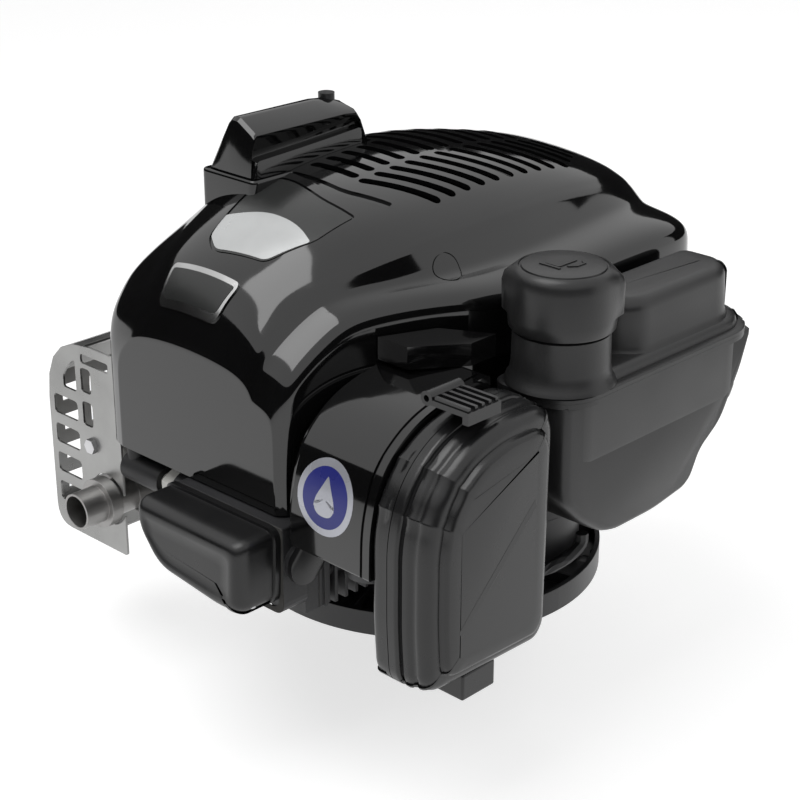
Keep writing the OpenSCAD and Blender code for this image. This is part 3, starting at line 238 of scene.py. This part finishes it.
crown = [(-153, 168), (-151, 176), (-146, 190), (-136, 206), (-124, 217), (-100, 231), (-70, 242), (-30, 249),
         (20, 252), (70, 249), (118, 240), (158, 224), (168, 212), (172, 198)]
edge_x = [(-153, 8), (-124, 14), (-100, 21), (-56, 35), (20, 42), (80, 40), (120, 37), (172, 24)]
edge_z = [(-153, 163), (-146, 183), (-136, 194), (-124, 205), (-100, 215), (-56, 226), (20, 231), (80, 230),
          (120, 225), (158, 213), (172, 190)]
ledge_z = [(-153, 152), (-146, 170), (-124, 190), (-108, 199), (-70, 203), (20, 204), (124, 208), (158, 200), (172, 182)]
right_x = [(-153, 33), (-150, 36.5), (-146, 40), (-102, 49), (-62, 66), (-30, 83), (30, 89), (137, 92), (160, 74), (172, 58)]
left_x = [(-153, -100), (-150, -110), (-146, -115), (-134, -120), (62, -120), (172, -50)]
hood_mid, skirt_low = -38.0, 90.2

def straight(table, y):
    for (a, va), (b, vb) in zip(table, table[1:]):
        if y <= b:
            return va + (vb - va) * max(0.0, (y - a) / (b - a))
    return table[-1][1]

def station(y):
    t, c, cz, lz = along(crown, y), along(edge_x, y), along(edge_z, y), along(ledge_z, y)
    r, l = straight(right_x, y), straight(left_x, y)
    drop, reach = t - cz, c - hood_mid
    left_edge = max(l + 4.0, 2 * hood_mid - c)
    if l > -119.9:
        left_edge = max(left_edge, l + 14.0) if y < 0 else l + 10.0
    span = max(3.0, r - c)
    right = [(hood_mid + reach * 0.45, t - drop * 0.14), (hood_mid + reach * 0.82, t - drop * 0.5), (c, cz),
             (c + min(5.5, span * 0.2), cz - min(5.0, (cz - lz) * 0.3)), (c + span * 0.2 + 3, lz + (cz - lz) * 0.22),
             (c + span * 0.34, lz + 0.8), (c + span * 0.7, lz - 1.2), (r - span * 0.08, lz - 5.0), (r - 0.3, lz - 11),
             (r, lz - 20), (r, 120), (r, skirt_low)]
    wide = hood_mid - left_edge
    left = [(hood_mid - wide * 0.45, t - drop * 0.14), (hood_mid - wide * 0.8, t - drop * 0.5), (left_edge, cz),
            (left_edge - (left_edge - l) * 0.5, cz - 6), (l + 0.6, cz - 16), (l, cz - 30), (l, 120), (l, skirt_low)]
    return [(x, y, z) for x, z in reversed(left)] + [(hood_mid, y, t)] + [(x, y, z) for x, z in right]

stops = [-153, -152, -150, -147, -143, -138, -131, -124, -112, -100, -85, -70, -50, -30, 0, 30, 62, 90, 118, 140, 156, 165, 170, 172]
rows = [station(y) for y in stops]
def toward(row, s):
    return [(-36 + (x + 36) * s, y, skirt_low + (z - skirt_low) * s) for x, y, z in row]
rows = [toward(rows[0], s) for s in (0.05, 0.5, 0.96)] + rows + [toward(rows[-1], s) for s in (0.96, 0.5, 0.05)]
bm = bmesh.new()
grid = [[bm.verts.new(Vector(p) * 0.001) for p in row] for row in rows]
for a, b in zip(grid, grid[1:]):
    for j in range(len(a) - 1):
        bm.faces.new((a[j], a[j + 1], b[j + 1], b[j]))
bm.faces.new(grid[0])
bm.faces.new(list(reversed(grid[-1])))
bmesh.ops.recalc_face_normals(bm, faces=bm.faces)
hard = bm.edges.layers.float.new("crease_edge")
edge_col = len(rows[0]) - 10
for a, b in zip(grid[4:-4], grid[5:-4]):
    for col, k in ((edge_col, 0.9), (edge_col + 1, 0.8), (5, 0.5)):
        e = bm.edges.get((a[col], b[col]))
        if e:
            e[hard] = k
for row in (grid[3], grid[-4]):
    for a, b in zip(row, row[1:]):
        e = bm.edges.get((a, b))
        if e:
            e[hard] = 0.55
housing = piece("blower_housing", bm, gloss_black, "engine", 60)
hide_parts("shroud")

def settle(o):
    # The modifiers become plain mesh
    bpy.context.view_layer.update()
    deps = bpy.context.evaluated_depsgraph_get()
    me = bpy.data.meshes.new_from_object(o.evaluated_get(deps))
    o.modifiers.clear()
    o.data = me

smooth = housing.modifiers.new("smooth", "SUBSURF")
smooth.levels = smooth.render_levels = 2
settle(housing)
outer_skin = BVHTree.FromPolygons([v.co.copy() for v in housing.data.vertices], [tuple(p.vertices) for p in housing.data.polygons])
wall = housing.modifiers.new("wall", "SOLIDIFY")
wall.thickness = 0.0024
wall.offset = -1.0
settle(housing)

def drape(skin, outline, centre, look, up, low, high, rings=7):
    # A closed plate that follows a skin: the outline, seen along look, is laid on it
    n = Vector(look).normalized()
    side = Vector(up).cross(n).normalized() * -1
    top = n.cross(side).normalized() * -1
    bm = bmesh.new()
    mid = Vector((sum(p[0] for p in outline) / len(outline), sum(p[1] for p in outline) / len(outline)))
    def at(p, lift):
        start = (Vector(centre) + side * p[0] + top * p[1]) * 0.001 - n * 0.1
        hit, normal, _, _ = skin.ray_cast(start, n)
        if hit is None:
            hit, normal = (Vector(centre) + side * p[0] + top * p[1]) * 0.001, -n
        if normal.dot(n) > 0:
            normal = -normal
        return hit + normal * lift * 0.001
    layers = []
    for lift in (low, high):
        layer = []
        for k in range(rings):
            s = 1 - k / rings
            layer.append([bm.verts.new(at((mid.x + (p[0] - mid.x) * s, mid.y + (p[1] - mid.y) * s), lift)) for p in outline])
        layers.append(layer)
        for a, b in zip(layer, layer[1:]):
            for i in range(len(outline)):
                bm.faces.new((a[i - 1], a[i], b[i], b[i - 1]))
        hub = bm.verts.new(at(tuple(mid), lift))
        last = layer[-1]
        for i in range(len(outline)):
            bm.faces.new((last[i - 1], last[i], hub))
    a, b = layers[0][0], layers[1][0]
    for i in range(len(outline)):
        bm.faces.new((a[i - 1], a[i], b[i], b[i - 1]))
    bmesh.ops.recalc_face_normals(bm, faces=bm.faces)
    return bm

def dense(pts, step=4.0):
    out = []
    for i, p in enumerate(pts):
        q = pts[(i + 1) % len(pts)]
        n = max(1, round(math.dist(p, q) / step))
        out += [(p[0] + (q[0] - p[0]) * k / n, p[1] + (q[1] - p[1]) * k / n) for k in range(n)]
    return out

def carve(o, cutter_bm):
    me = bpy.data.meshes.new("cutter")
    cutter_bm.to_mesh(me)
    cutter_bm.free()
    c = bpy.data.objects.new("cutter", me)
    bpy.context.collection.objects.link(c)
    cut = o.modifiers.new("cut", "BOOLEAN")
    cut.object, cut.operation, cut.solver = c, "DIFFERENCE", "EXACT"
    settle(o)
    bpy.data.objects.remove(c)

def capsule(a, b, r, n=6):
    d = math.atan2(b[1] - a[1], b[0] - a[0])
    return [(b[0] + r * math.cos(d - math.pi / 2 + math.pi * k / n), b[1] + r * math.sin(d - math.pi / 2 + math.pi * k / n))
            for k in range(n + 1)] + [(a[0] + r * math.cos(d + math.pi / 2 + math.pi * k / n),
            a[1] + r * math.sin(d + math.pi / 2 + math.pi * k / n)) for k in range(n + 1)]

def prism(bm, pts, z0, z1):
    low, high = [[bm.verts.new(Vector((*p, z)) * 0.001) for p in pts] for z in (z0, z1)]
    bm.faces.new(list(reversed(low)))
    bm.faces.new(high)
    for i in range(len(pts)):
        bm.faces.new((low[i - 1], low[i], high[i], high[i - 1]))

slots = bmesh.new()
for i in range(13):
    y = -37 + i * 12.6
    shrink = max(0.0, i - 9) * 6.0
    prism(slots, capsule((-13, y), (25 - shrink, y + 19 - shrink * 0.5), 3.1), 205, 262)
    if i < 12:
        prism(slots, capsule((-22, y + 1), (-55 if y < 24 else -86 + shrink * 2, y + 2), 3.1), 205, 262)
carve(housing, slots)
socket = bmesh.new()
prism(socket, rounded([(-104, -78), (-62, -78), (-62, 20), (-104, 20)], 4), 192, 270)
carve(housing, socket)
down, north = (0, 0, -1), (0, 1, 0)
crescent = dense(rounded([(-66, -48), (-58, -51), (-14, -60), (16, -47), (15, -42), (-14, -52)], [2, 0, 8, 2, 2, 8]), 3)
label_out = dense(rounded([(-72, -57), (-58, -116), (-46, -124), (-8, -119), (6, -93), (10, -66), (-16, -66), (-50, -58)],
    [3, 5, 5, 6, 4, 3, 8, 8]), 4)
badge_out = dense(rounded([(-66, -147), (-18, -147), (-12, -132), (-68, -132)], 4), 3)
carve(housing, drape(outer_skin, crescent, (0, 0, 300), down, north, -1.4, 3))
carve(housing, drape(outer_skin, label_out, (0, 0, 300), down, north, -1.0, 3))
housing.data.shade_smooth()
housing.data.set_sharp_from_angle(angle=math.radians(40))

# ---- Label field and badge ----
# A printed film set in a shallow frame on the nose of the hood, dark above
# and silver below, and a plain plated badge under it. Neither has any print.
film_dark = finish("film_dark", (0.022, 0.023, 0.0225), 0.25, grain=2500, depth=0.00001, mottle=0.12)
film_silver = finish("film_silver", (0.55, 0.56, 0.56), 0.25, metal=0.5, grain=2500, depth=0.00001, mottle=0.08)
badge_metal = finish("badge_metal", (0.5, 0.5, 0.5), 0.18, metal=1.0, grain=2000, depth=0.00001)
field = piece("label_film", drape(outer_skin, inset(label_out, 1.2), (0, 0, 300), down, north, -1.6, -0.5), film_dark, "engine", 30)
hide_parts("label_panel")
silver_out = dense(rounded([(-63, -99), (-57.5, -114.5), (-46, -121.5), (-9.5, -117), (3.5, -95), (-12, -90), (-36, -90)],
    [2, 3, 4, 4, 2, 10, 10]), 3)
piece("label_lower", drape(outer_skin, silver_out, (0, 0, 300), down, north, -1.2, -0.3), film_silver, "engine", 30)
badge = piece("badge_plate", drape(outer_skin, badge_out, (0, 0, 300), down, north, -0.5, 1.1), badge_metal, "engine", 30)
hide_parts("emblem")
piece("badge_field", drape(outer_skin, inset(badge_out, 2.2), (0, 0, 300), down, north, 0.5, 1.35), film_dark, "engine", 30)

# ---- Side plug ----
# A round blanking plug pressed flush into the side of the housing; only its
# rim line shows.
plug_ring = [(9 * math.cos(a), 9 * math.sin(a)) for a in [math.tau * k / 32 for k in range(32)]]
plug_look = (-0.8, 0.1, -0.6)
carve(housing, drape(outer_skin, plug_ring, (60, -37, 215), plug_look, (0, 0, 1), -0.8, 3))
piece("side_plug", drape(outer_skin, [(x * 0.93, y * 0.93) for x, y in plug_ring], (60, -37, 215), plug_look, (0, 0, 1), -1.2, 0.1),
      gloss_black, "engine", 30)

# ---- Battery dock and pack ----
# The dock is a gloss black collar on the housing. The pack drops into it and
# has a sloping front, a ridged top and an undercut side to grip it by.
dock_in = rounded([(-105.8, -79.8), (-59.2, -79.8), (-59.2, 21.8), (-105.8, 21.8)], 5)
dock = moulding("battery_collar", "z", dock_in, [(0, 190), (0, 242)] + roll(0, 242, 1.2, 244, 3)
    + roll(1.4, 244, 2.4, 242, 3) + [(2.4, 186), (0, 186)], gloss_black, "engine", 40)
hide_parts("battery_dock")
def pack_row(y, top, right, lip, left, k=0.0):
    return [(-102.8 + k, y, 189.5), (-102.8 + k, y, left - 4), (-101.8 + k, y, left), (-93, y, (left + top) / 2 + 1.5),
            (-86, y, top - 2.2), (-84, y, top - 0.4), (-82.6, y, top), (-79.4, y, top), (-77.6, y, top - 0.6), (-67.4, y, right + 0.5), (-65, y, right - 1.5),
            (-65.2, y, right - 4), (-68, y, lip + 4), (-68, y, lip + 1.5), (-63 - k, y, lip), (-62.4 - k, y, lip - 2), (-62.4 - k, y, 189.5)]
pack_rows = [pack_row(*r) for r in
    [(-76.8, 245, 243, 236, 238, 2.0), (-76.2, 253, 250, 243, 242, 0.7), (-75, 266, 260, 249, 244, 0.2), (-73.4, 275, 268, 253, 244.6), (-71, 277, 270, 254, 245),
     (-40, 277, 270, 255.5, 245), (-14, 277, 270, 257, 245), (0, 275.4, 270, 258, 245), (9, 272.4, 269, 258.5, 244.6), (12.5, 266, 264, 257, 244), (16, 256, 255, 251, 242, 0.6),
     (18.6, 249, 248, 245, 238, 2.0)]]
pack = shell("battery_case", pack_rows, gloss_black, "battery", 42)
soft = pack.modifiers.new("soft", "BEVEL")
soft.width, soft.segments, soft.limit_method, soft.angle_limit = 0.0009, 3, "ANGLE", math.radians(30)
settle(pack)
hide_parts("battery_pack")
dress(cover_black, "release_button")

# ---- Duct cover ----
# A gloss black arch that hides the carburettor, snapped between the housing
# and the air cleaner, with a round two-colour disc on its front.
duct_out = rounded([(-159.8, 81.2), (-67, 81.2), (-67, 171), (-96, 168), (-126, 160), (-150, 141), (-159, 112)],
    [2, 2, 4, 12, 14, 14, 14], 6)
duct = moulding("carburettor_arch", "x", duct_out, [(4.2, 108), (4.2, 54)] + [(2.6, 52)] + roll(2.0, 49.8, 0, 53, 5)[0:]
    + [(0, 104), (-0.01, 105), (1.2, 105.4), (1.2, 106.4), (0, 106.8), (0, 111.6), (4.2, 111.7)], gloss_black, "engine", 40)
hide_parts("duct_cover")
dress(gloss_black, "intake_duct")
duct_skin = BVHTree.FromPolygons([v.co.copy() for v in duct.data.vertices], [tuple(p.vertices) for p in duct.data.polygons])
def disc(r):
    return [(r * math.cos(a), r * math.sin(a)) for a in [math.tau * k / 48 for k in range(48)]]
disc_at, forward = (77, -200, 117), (0, 1, 0)
disc_blue = finish("disc_blue", (0.022, 0.028, 0.22), 0.3, grain=2500, depth=0.00001, mottle=0.08)
disc_silver = finish("disc_silver", (0.5, 0.51, 0.56), 0.28, metal=0.4, grain=2500, depth=0.00001, mottle=0.08)
piece("disc_rim", drape(duct_skin, disc(20.5), disc_at, forward, (0, 0, 1), -0.3, 0.15), disc_silver, "engine", 30)
piece("disc_middle", drape(duct_skin, disc(16.5), disc_at, forward, (0, 0, 1), -0.3, 0.22), disc_blue, "engine", 30)
piece("disc_drop", drape(duct_skin, dense(rounded([(0, 12), (-7.5, -2), (-7.5, -10), (7.5, -10), (7.5, -2)], [1, 4, 7, 7, 4]), 2), disc_at,
      forward, (0, 0, 1), -0.3, 0.29), disc_silver, "engine", 30)

# ---- Air cleaner ----
# Base and cover are satin black mouldings. The cover steps back in soft ribs,
# hinges on two tabs below and closes under a ribbed clip on top.
satin_black = finish("satin_black", (0.011, 0.011, 0.0115), 0.26, grain=1300, depth=0.00002, mottle=0.12)
cleaner_out = rounded([(-152, 23), (-64, 21), (-58, 30), (-56, 156), (-66, 166), (-96, 166), (-128, 158), (-150, 138), (-159, 112), (-159.3, 60), (-157.5, 31)],
    [6, 6, 4, 8, 8, 12, 16, 14, 14, 10, 5], 6)
base = moulding("cleaner_base", "x", cleaner_out, [(3, 115.4), (3, 123.9), (0, 123.9), (0, 121), (0.8, 120.4), (0.8, 118)]
    + roll(0.8, 116, 3.5, 112.2, 4), satin_black, "engine", 45)
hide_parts("air_cleaner_base")
dress(finish("filter_paper", (0.62, 0.55, 0.36), 0.9, grain=300, depth=0.0003), "air_filter")
cover = moulding("cleaner_cover", "x", cleaner_out, [(7.5, 150), (4.6, 148), (2.8, 140), (2.6, 124.4), (0, 124.4), (0, 128.6)]
    + roll(0, 129.4, 2.2, 131.2, 3) + [(2.2, 133)] + roll(0.9, 134.2, 2.4, 139.2, 3) + [(3.0, 141.2)] + roll(2.2, 142.6, 9, 150.6, 6)
    + [(11, 150.8)] + roll(11.4, 151.6, 14.5, 155.2, 4) + [(20, 155.8)], satin_black, "cleaner_cover", 50)
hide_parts("air_cleaner_cover")
ridge = bmesh.new()
prism(ridge, [(-139, 60), (-136, 56), (-78, 112), (-80, 117)], 0, 1)
for v in ridge.verts:
    v.co = Vector((0.1548 + v.co.z * 1.1, v.co.x, v.co.y))
bmesh.ops.recalc_face_normals(ridge, faces=ridge.faces)
ridge_line = piece("cleaner_ridge", ridge, satin_black, "cleaner_cover", 30)
lip = ridge_line.modifiers.new("soft", "BEVEL")
lip.width, lip.segments = 0.0005, 2
settle(ridge_line)
tabs = bmesh.new()
for y0, y1 in ((-124, -98), (-71, -53)):
    prism(tabs, [(112.5, y0), (146 if y0 < -90 else 138, y0), (146 if y0 < -90 else 138, y1), (112.5, y1)], 8 if y0 < -90 else 17, 24)
tab = piece("cleaner_tabs", tabs, satin_black, "cleaner_cover", 30)
edge = tab.modifiers.new("soft", "BEVEL")
edge.width, edge.segments = 0.0014, 3
settle(tab)
dress(satin_black, "cover_latch")

# ---- Fuel tank and cap ----
# Two blow-moulded satin halves welded at a wide flange, with a tall round
# filler neck. The screw cap has grip lobes and a plain pump sign on top.
tank_satin = finish("tank_satin", (0.02, 0.02, 0.0205), 0.36, grain=1000, depth=0.00005, mottle=0.14)
tank_out = rounded([(97, -43), (146, -43), (146, 118), (130, 132), (101, 132), (97, 126)], [8, 22, 14, 10, 4, 3], 7)
lower = bmesh.new()
side = [(-43, 154), (-43, 96), (-22, 76), (0, 61), (42, 61), (76, 66), (86, 86), (106, 100), (124, 132), (132, 154)]
def low_z(y):
    pts = [(-43, 96), (-22, 76), (0, 63), (42, 61), (76, 66), (86, 84), (106, 100), (124, 130), (132, 148)]
    return straight(pts, y)
tank_lower = moulding("tank_lower_shell", "z", tank_out, [(6, 110), (1.5, 112), (0, 118), (0, 151), (-4, 151), (-4, 153.9), (2, 153.9)],
    tank_satin, "engine", 45)
belly_rows = []
for x, k in ((97.3, 2.0), (99, 0.3), (104, 0.0), (134, 0.0), (140, 0.6), (143.6, 2.4), (145.2, 5.0)):
    belly = inset(rounded(side, [2, 10, 6, 10, 8, 8, 6, 8, 6, 2], 5), k)
    belly_rows.append([(x, y, min(z, 152)) for y, z in belly])
tank_belly = shell("tank_belly", belly_rows, tank_satin, "engine", 45)
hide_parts("tank_lower")
top_out = rounded([(97, 13), (122, 13), (140, 22), (140, 110), (128, 122), (97, 122)], [8, 6, 14, 12, 8, 8], 7)
tank_top = moulding("tank_upper_shell", "z", tank_out, [(-4, 154), (-4, 156.2), (-3, 157), (1.0, 157), (1.5, 160), (3, 162.5), (6, 163.5), (12, 164)],
    tank_satin, "engine", 45)
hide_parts("tank_upper")
moulding("tank_dome", "z", top_out, [(-3, 162), (-1, 164), (0, 167), (0.6, 180)] + roll(0.9, 187, 8, 195, 7) + [(16, 195.2)],
    tank_satin, "engine", 45)
neck = (122.0, -21.0)
def turned(name, at, radii, mat, body, sharp=40, n=64):
    return shell(name, [[(at[0] + r * math.cos(math.tau * k / n), at[1] + r * math.sin(math.tau * k / n), z) for k in range(n)]
                        for r, z in radii], mat, body, sharp)
turned("filler_neck", neck, [(18, 158), (31, 158), (30, 160.5), (28.4, 163), (27.4, 168), (27, 187), (24, 188), (24, 204.8), (20, 204.8), (20, 166)],
       tank_satin, "engine")
cap_black = finish("cap_black", (0.017, 0.017, 0.0175), 0.36, grain=900, depth=0.00005, mottle=0.12)
def cap_loop(r, z, grip):
    out = []
    for k in range(120):
        a = math.tau * k / 120
        lobe = max(0.0, math.cos(2 * (a - math.radians(35)))) ** 6 * 0.55 + max(0.0, math.cos(2 * (a - math.radians(35)))) ** 40 * 0.45
        out.append((neck[0] + (r + grip * lobe) * math.cos(a), neck[1] + (r + grip * lobe) * math.sin(a), z))
    return out
cap_steps = [(24.8, 208.2, 0), (24.8, 189.2, 0), (28.6, 189, 0), (29.4, 190, 0), (29.4, 196, 0.6), (29.4, 197.6, 3.6), (29.2, 214, 4.2), (28.6, 218.5, 3.6),
             (27.4, 221.2, 1.5), (25.6, 222.9, 0), (24.6, 223.3, 0), (24.2, 222.6, 0), (23.4, 222.6, 0), (23.0, 223.6, 0), (20, 224.2, 0), (10, 224.3, 0), (2, 224.3, 0)]
cap = shell("screw_cap", [cap_loop(r, z, g) for r, z, g in cap_steps], cap_black, "cap", 50)
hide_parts("fuel_cap")
sign = bmesh.new()
prism(sign, [(neck[0] + x, neck[1] + y) for x, y in rounded([(-7, -8), (3, -8), (3, 8), (-7, 8)], 1.2)], 224.2, 224.9)
prism(sign, [(neck[0] + x, neck[1] + y) for x, y in rounded([(-9, -10.4), (5, -10.4), (5, -8.6), (-9, -8.6)], 0.4)], 224.2, 224.9)
prism(sign, [(neck[0] + x, neck[1] + y) for x, y in [(5, -4), (6.2, -4), (9.5, 0), (9.5, 7), (6, 9), (5.4, 8), (8.2, 6.2), (8.2, 0.6)]], 224.2, 224.9)
piece("pump_sign", sign, cap_black, "cap", 30)

# ---- Floor, lights and camera ----
# A pale floor, two soft overhead lamps, a low fill and dark cards round the
# set that only reflections see.
floor_mesh = bmesh.new()
bmesh.ops.create_grid(floor_mesh, x_segments=1, y_segments=1, size=30)
bmesh.ops.translate(floor_mesh, verts=floor_mesh.verts, vec=(0, 0, -0.0625))
me = bpy.data.meshes.new("floor")
floor_mesh.to_mesh(me)
floor_mesh.free()
floor = bpy.data.objects.new("floor", me)
bpy.context.collection.objects.link(floor)
pale = bpy.data.materials.new("floor_pale")
pale.use_nodes = True
nt = pale.node_tree
matt = nt.nodes["Principled BSDF"]
matt.inputs["Base Color"].default_value = (0.6, 0.6, 0.6, 1)
matt.inputs["Roughness"].default_value = 0.9
glow = nt.nodes.new("ShaderNodeEmission")
glow.inputs["Strength"].default_value = 0.66
seen = nt.nodes.new("ShaderNodeLightPath")
seen_in = nt.nodes.new("ShaderNodeMath")
seen_in.operation = "MAXIMUM"
shiny = nt.nodes.new("ShaderNodeMath")
shiny.operation = "MAXIMUM"
nt.links.new(seen.outputs["Is Glossy Ray"], shiny.inputs[0])
nt.links.new(seen.outputs["Is Transmission Ray"], shiny.inputs[1])
nt.links.new(seen.outputs["Is Camera Ray"], seen_in.inputs[0])
nt.links.new(shiny.outputs[0], seen_in.inputs[1])
both = nt.nodes.new("ShaderNodeAddShader")
pick = nt.nodes.new("ShaderNodeMixShader")
nt.links.new(matt.outputs[0], both.inputs[0])
nt.links.new(glow.outputs[0], both.inputs[1])
nt.links.new(seen_in.outputs[0], pick.inputs[0])
nt.links.new(matt.outputs[0], pick.inputs[1])
nt.links.new(both.outputs[0], pick.inputs[2])
nt.links.new(pick.outputs[0], nt.nodes["Material Output"].inputs["Surface"])
me.materials.append(pale)

world = bpy.data.worlds.new("studio")
bpy.context.scene.world = world
world.use_nodes = True
nt = world.node_tree
air = nt.nodes["Background"]
air.inputs["Color"].default_value = (1, 1, 1, 1)
seen = nt.nodes.new("ShaderNodeLightPath")
either = nt.nodes.new("ShaderNodeMath")
either.operation = "MAXIMUM"
level = nt.nodes.new("ShaderNodeMapRange")
level.inputs["To Min"].default_value = 0.4
level.inputs["To Max"].default_value = 1.0
shiny = nt.nodes.new("ShaderNodeMath")
shiny.operation = "MAXIMUM"
nt.links.new(seen.outputs["Is Glossy Ray"], shiny.inputs[0])
nt.links.new(seen.outputs["Is Transmission Ray"], shiny.inputs[1])
nt.links.new(seen.outputs["Is Camera Ray"], either.inputs[0])
nt.links.new(shiny.outputs[0], either.inputs[1])
nt.links.new(either.outputs[0], level.inputs["Value"])
nt.links.new(level.outputs["Result"], air.inputs["Strength"])

card = bmesh.new()
low, high = [[card.verts.new((2.4 * math.cos(math.tau * k / 48), 2.4 * math.sin(math.tau * k / 48), z)) for k in range(48)] for z in (0.0, 1.15)]
for k in range(48):
    if not 3 <= k <= 8:
        card.faces.new((low[k - 1], low[k], high[k], high[k - 1]))
me = bpy.data.meshes.new("dark_cards")
card.to_mesh(me)
card.free()
dark = bpy.data.materials.new("card_black")
dark.use_nodes = True
dark.node_tree.nodes["Principled BSDF"].inputs["Base Color"].default_value = (0.01, 0.01, 0.01, 1)
dark.node_tree.nodes["Principled BSDF"].inputs["Roughness"].default_value = 1.0
me.materials.append(dark)
cards = bpy.data.objects.new("dark_cards", me)
bpy.context.collection.objects.link(cards)
cards.visible_camera = cards.visible_diffuse = cards.visible_shadow = cards.visible_transmission = False

for name, at, aim, size, watts in (("key", (-0.25, -0.75, 1.9), (0, 0, 0.1), 1.3, 17), ("fill", (1.8, -0.6, 1.2), (0, 0, 0.1), 1.0, 4),
                                   ("back", (0.2, 1.7, 1.5), (0, 0, 0.1), 1.2, 6)):
    lamp = bpy.data.lights.new(name, "AREA")
    lamp.size, lamp.energy = size, watts
    o = bpy.data.objects.new(name, lamp)
    bpy.context.collection.objects.link(o)
    o.location = at
    o.visible_glossy = name == "key"
    o.rotation_mode = "QUATERNION"
    o.rotation_quaternion = (Vector(aim) - Vector(at)).to_track_quat("-Z", "Y")
view = bpy.data.cameras.new("view")
view.lens, view.sensor_width = 84.6, 36.0
camera = bpy.data.objects.new("camera", view)
bpy.context.collection.objects.link(camera)
az, el = math.radians(44), math.radians(23)
camera.location = (0.7201, -0.7665, 0.5488)
camera.rotation_mode = "QUATERNION"
camera.rotation_quaternion = Vector((-math.sin(az) * math.cos(el), math.cos(az) * math.cos(el), -math.sin(el))).to_track_quat("-Z", "Y")
bpy.context.scene.camera = camera
bpy.context.scene.view_settings.view_transform = "Standard"
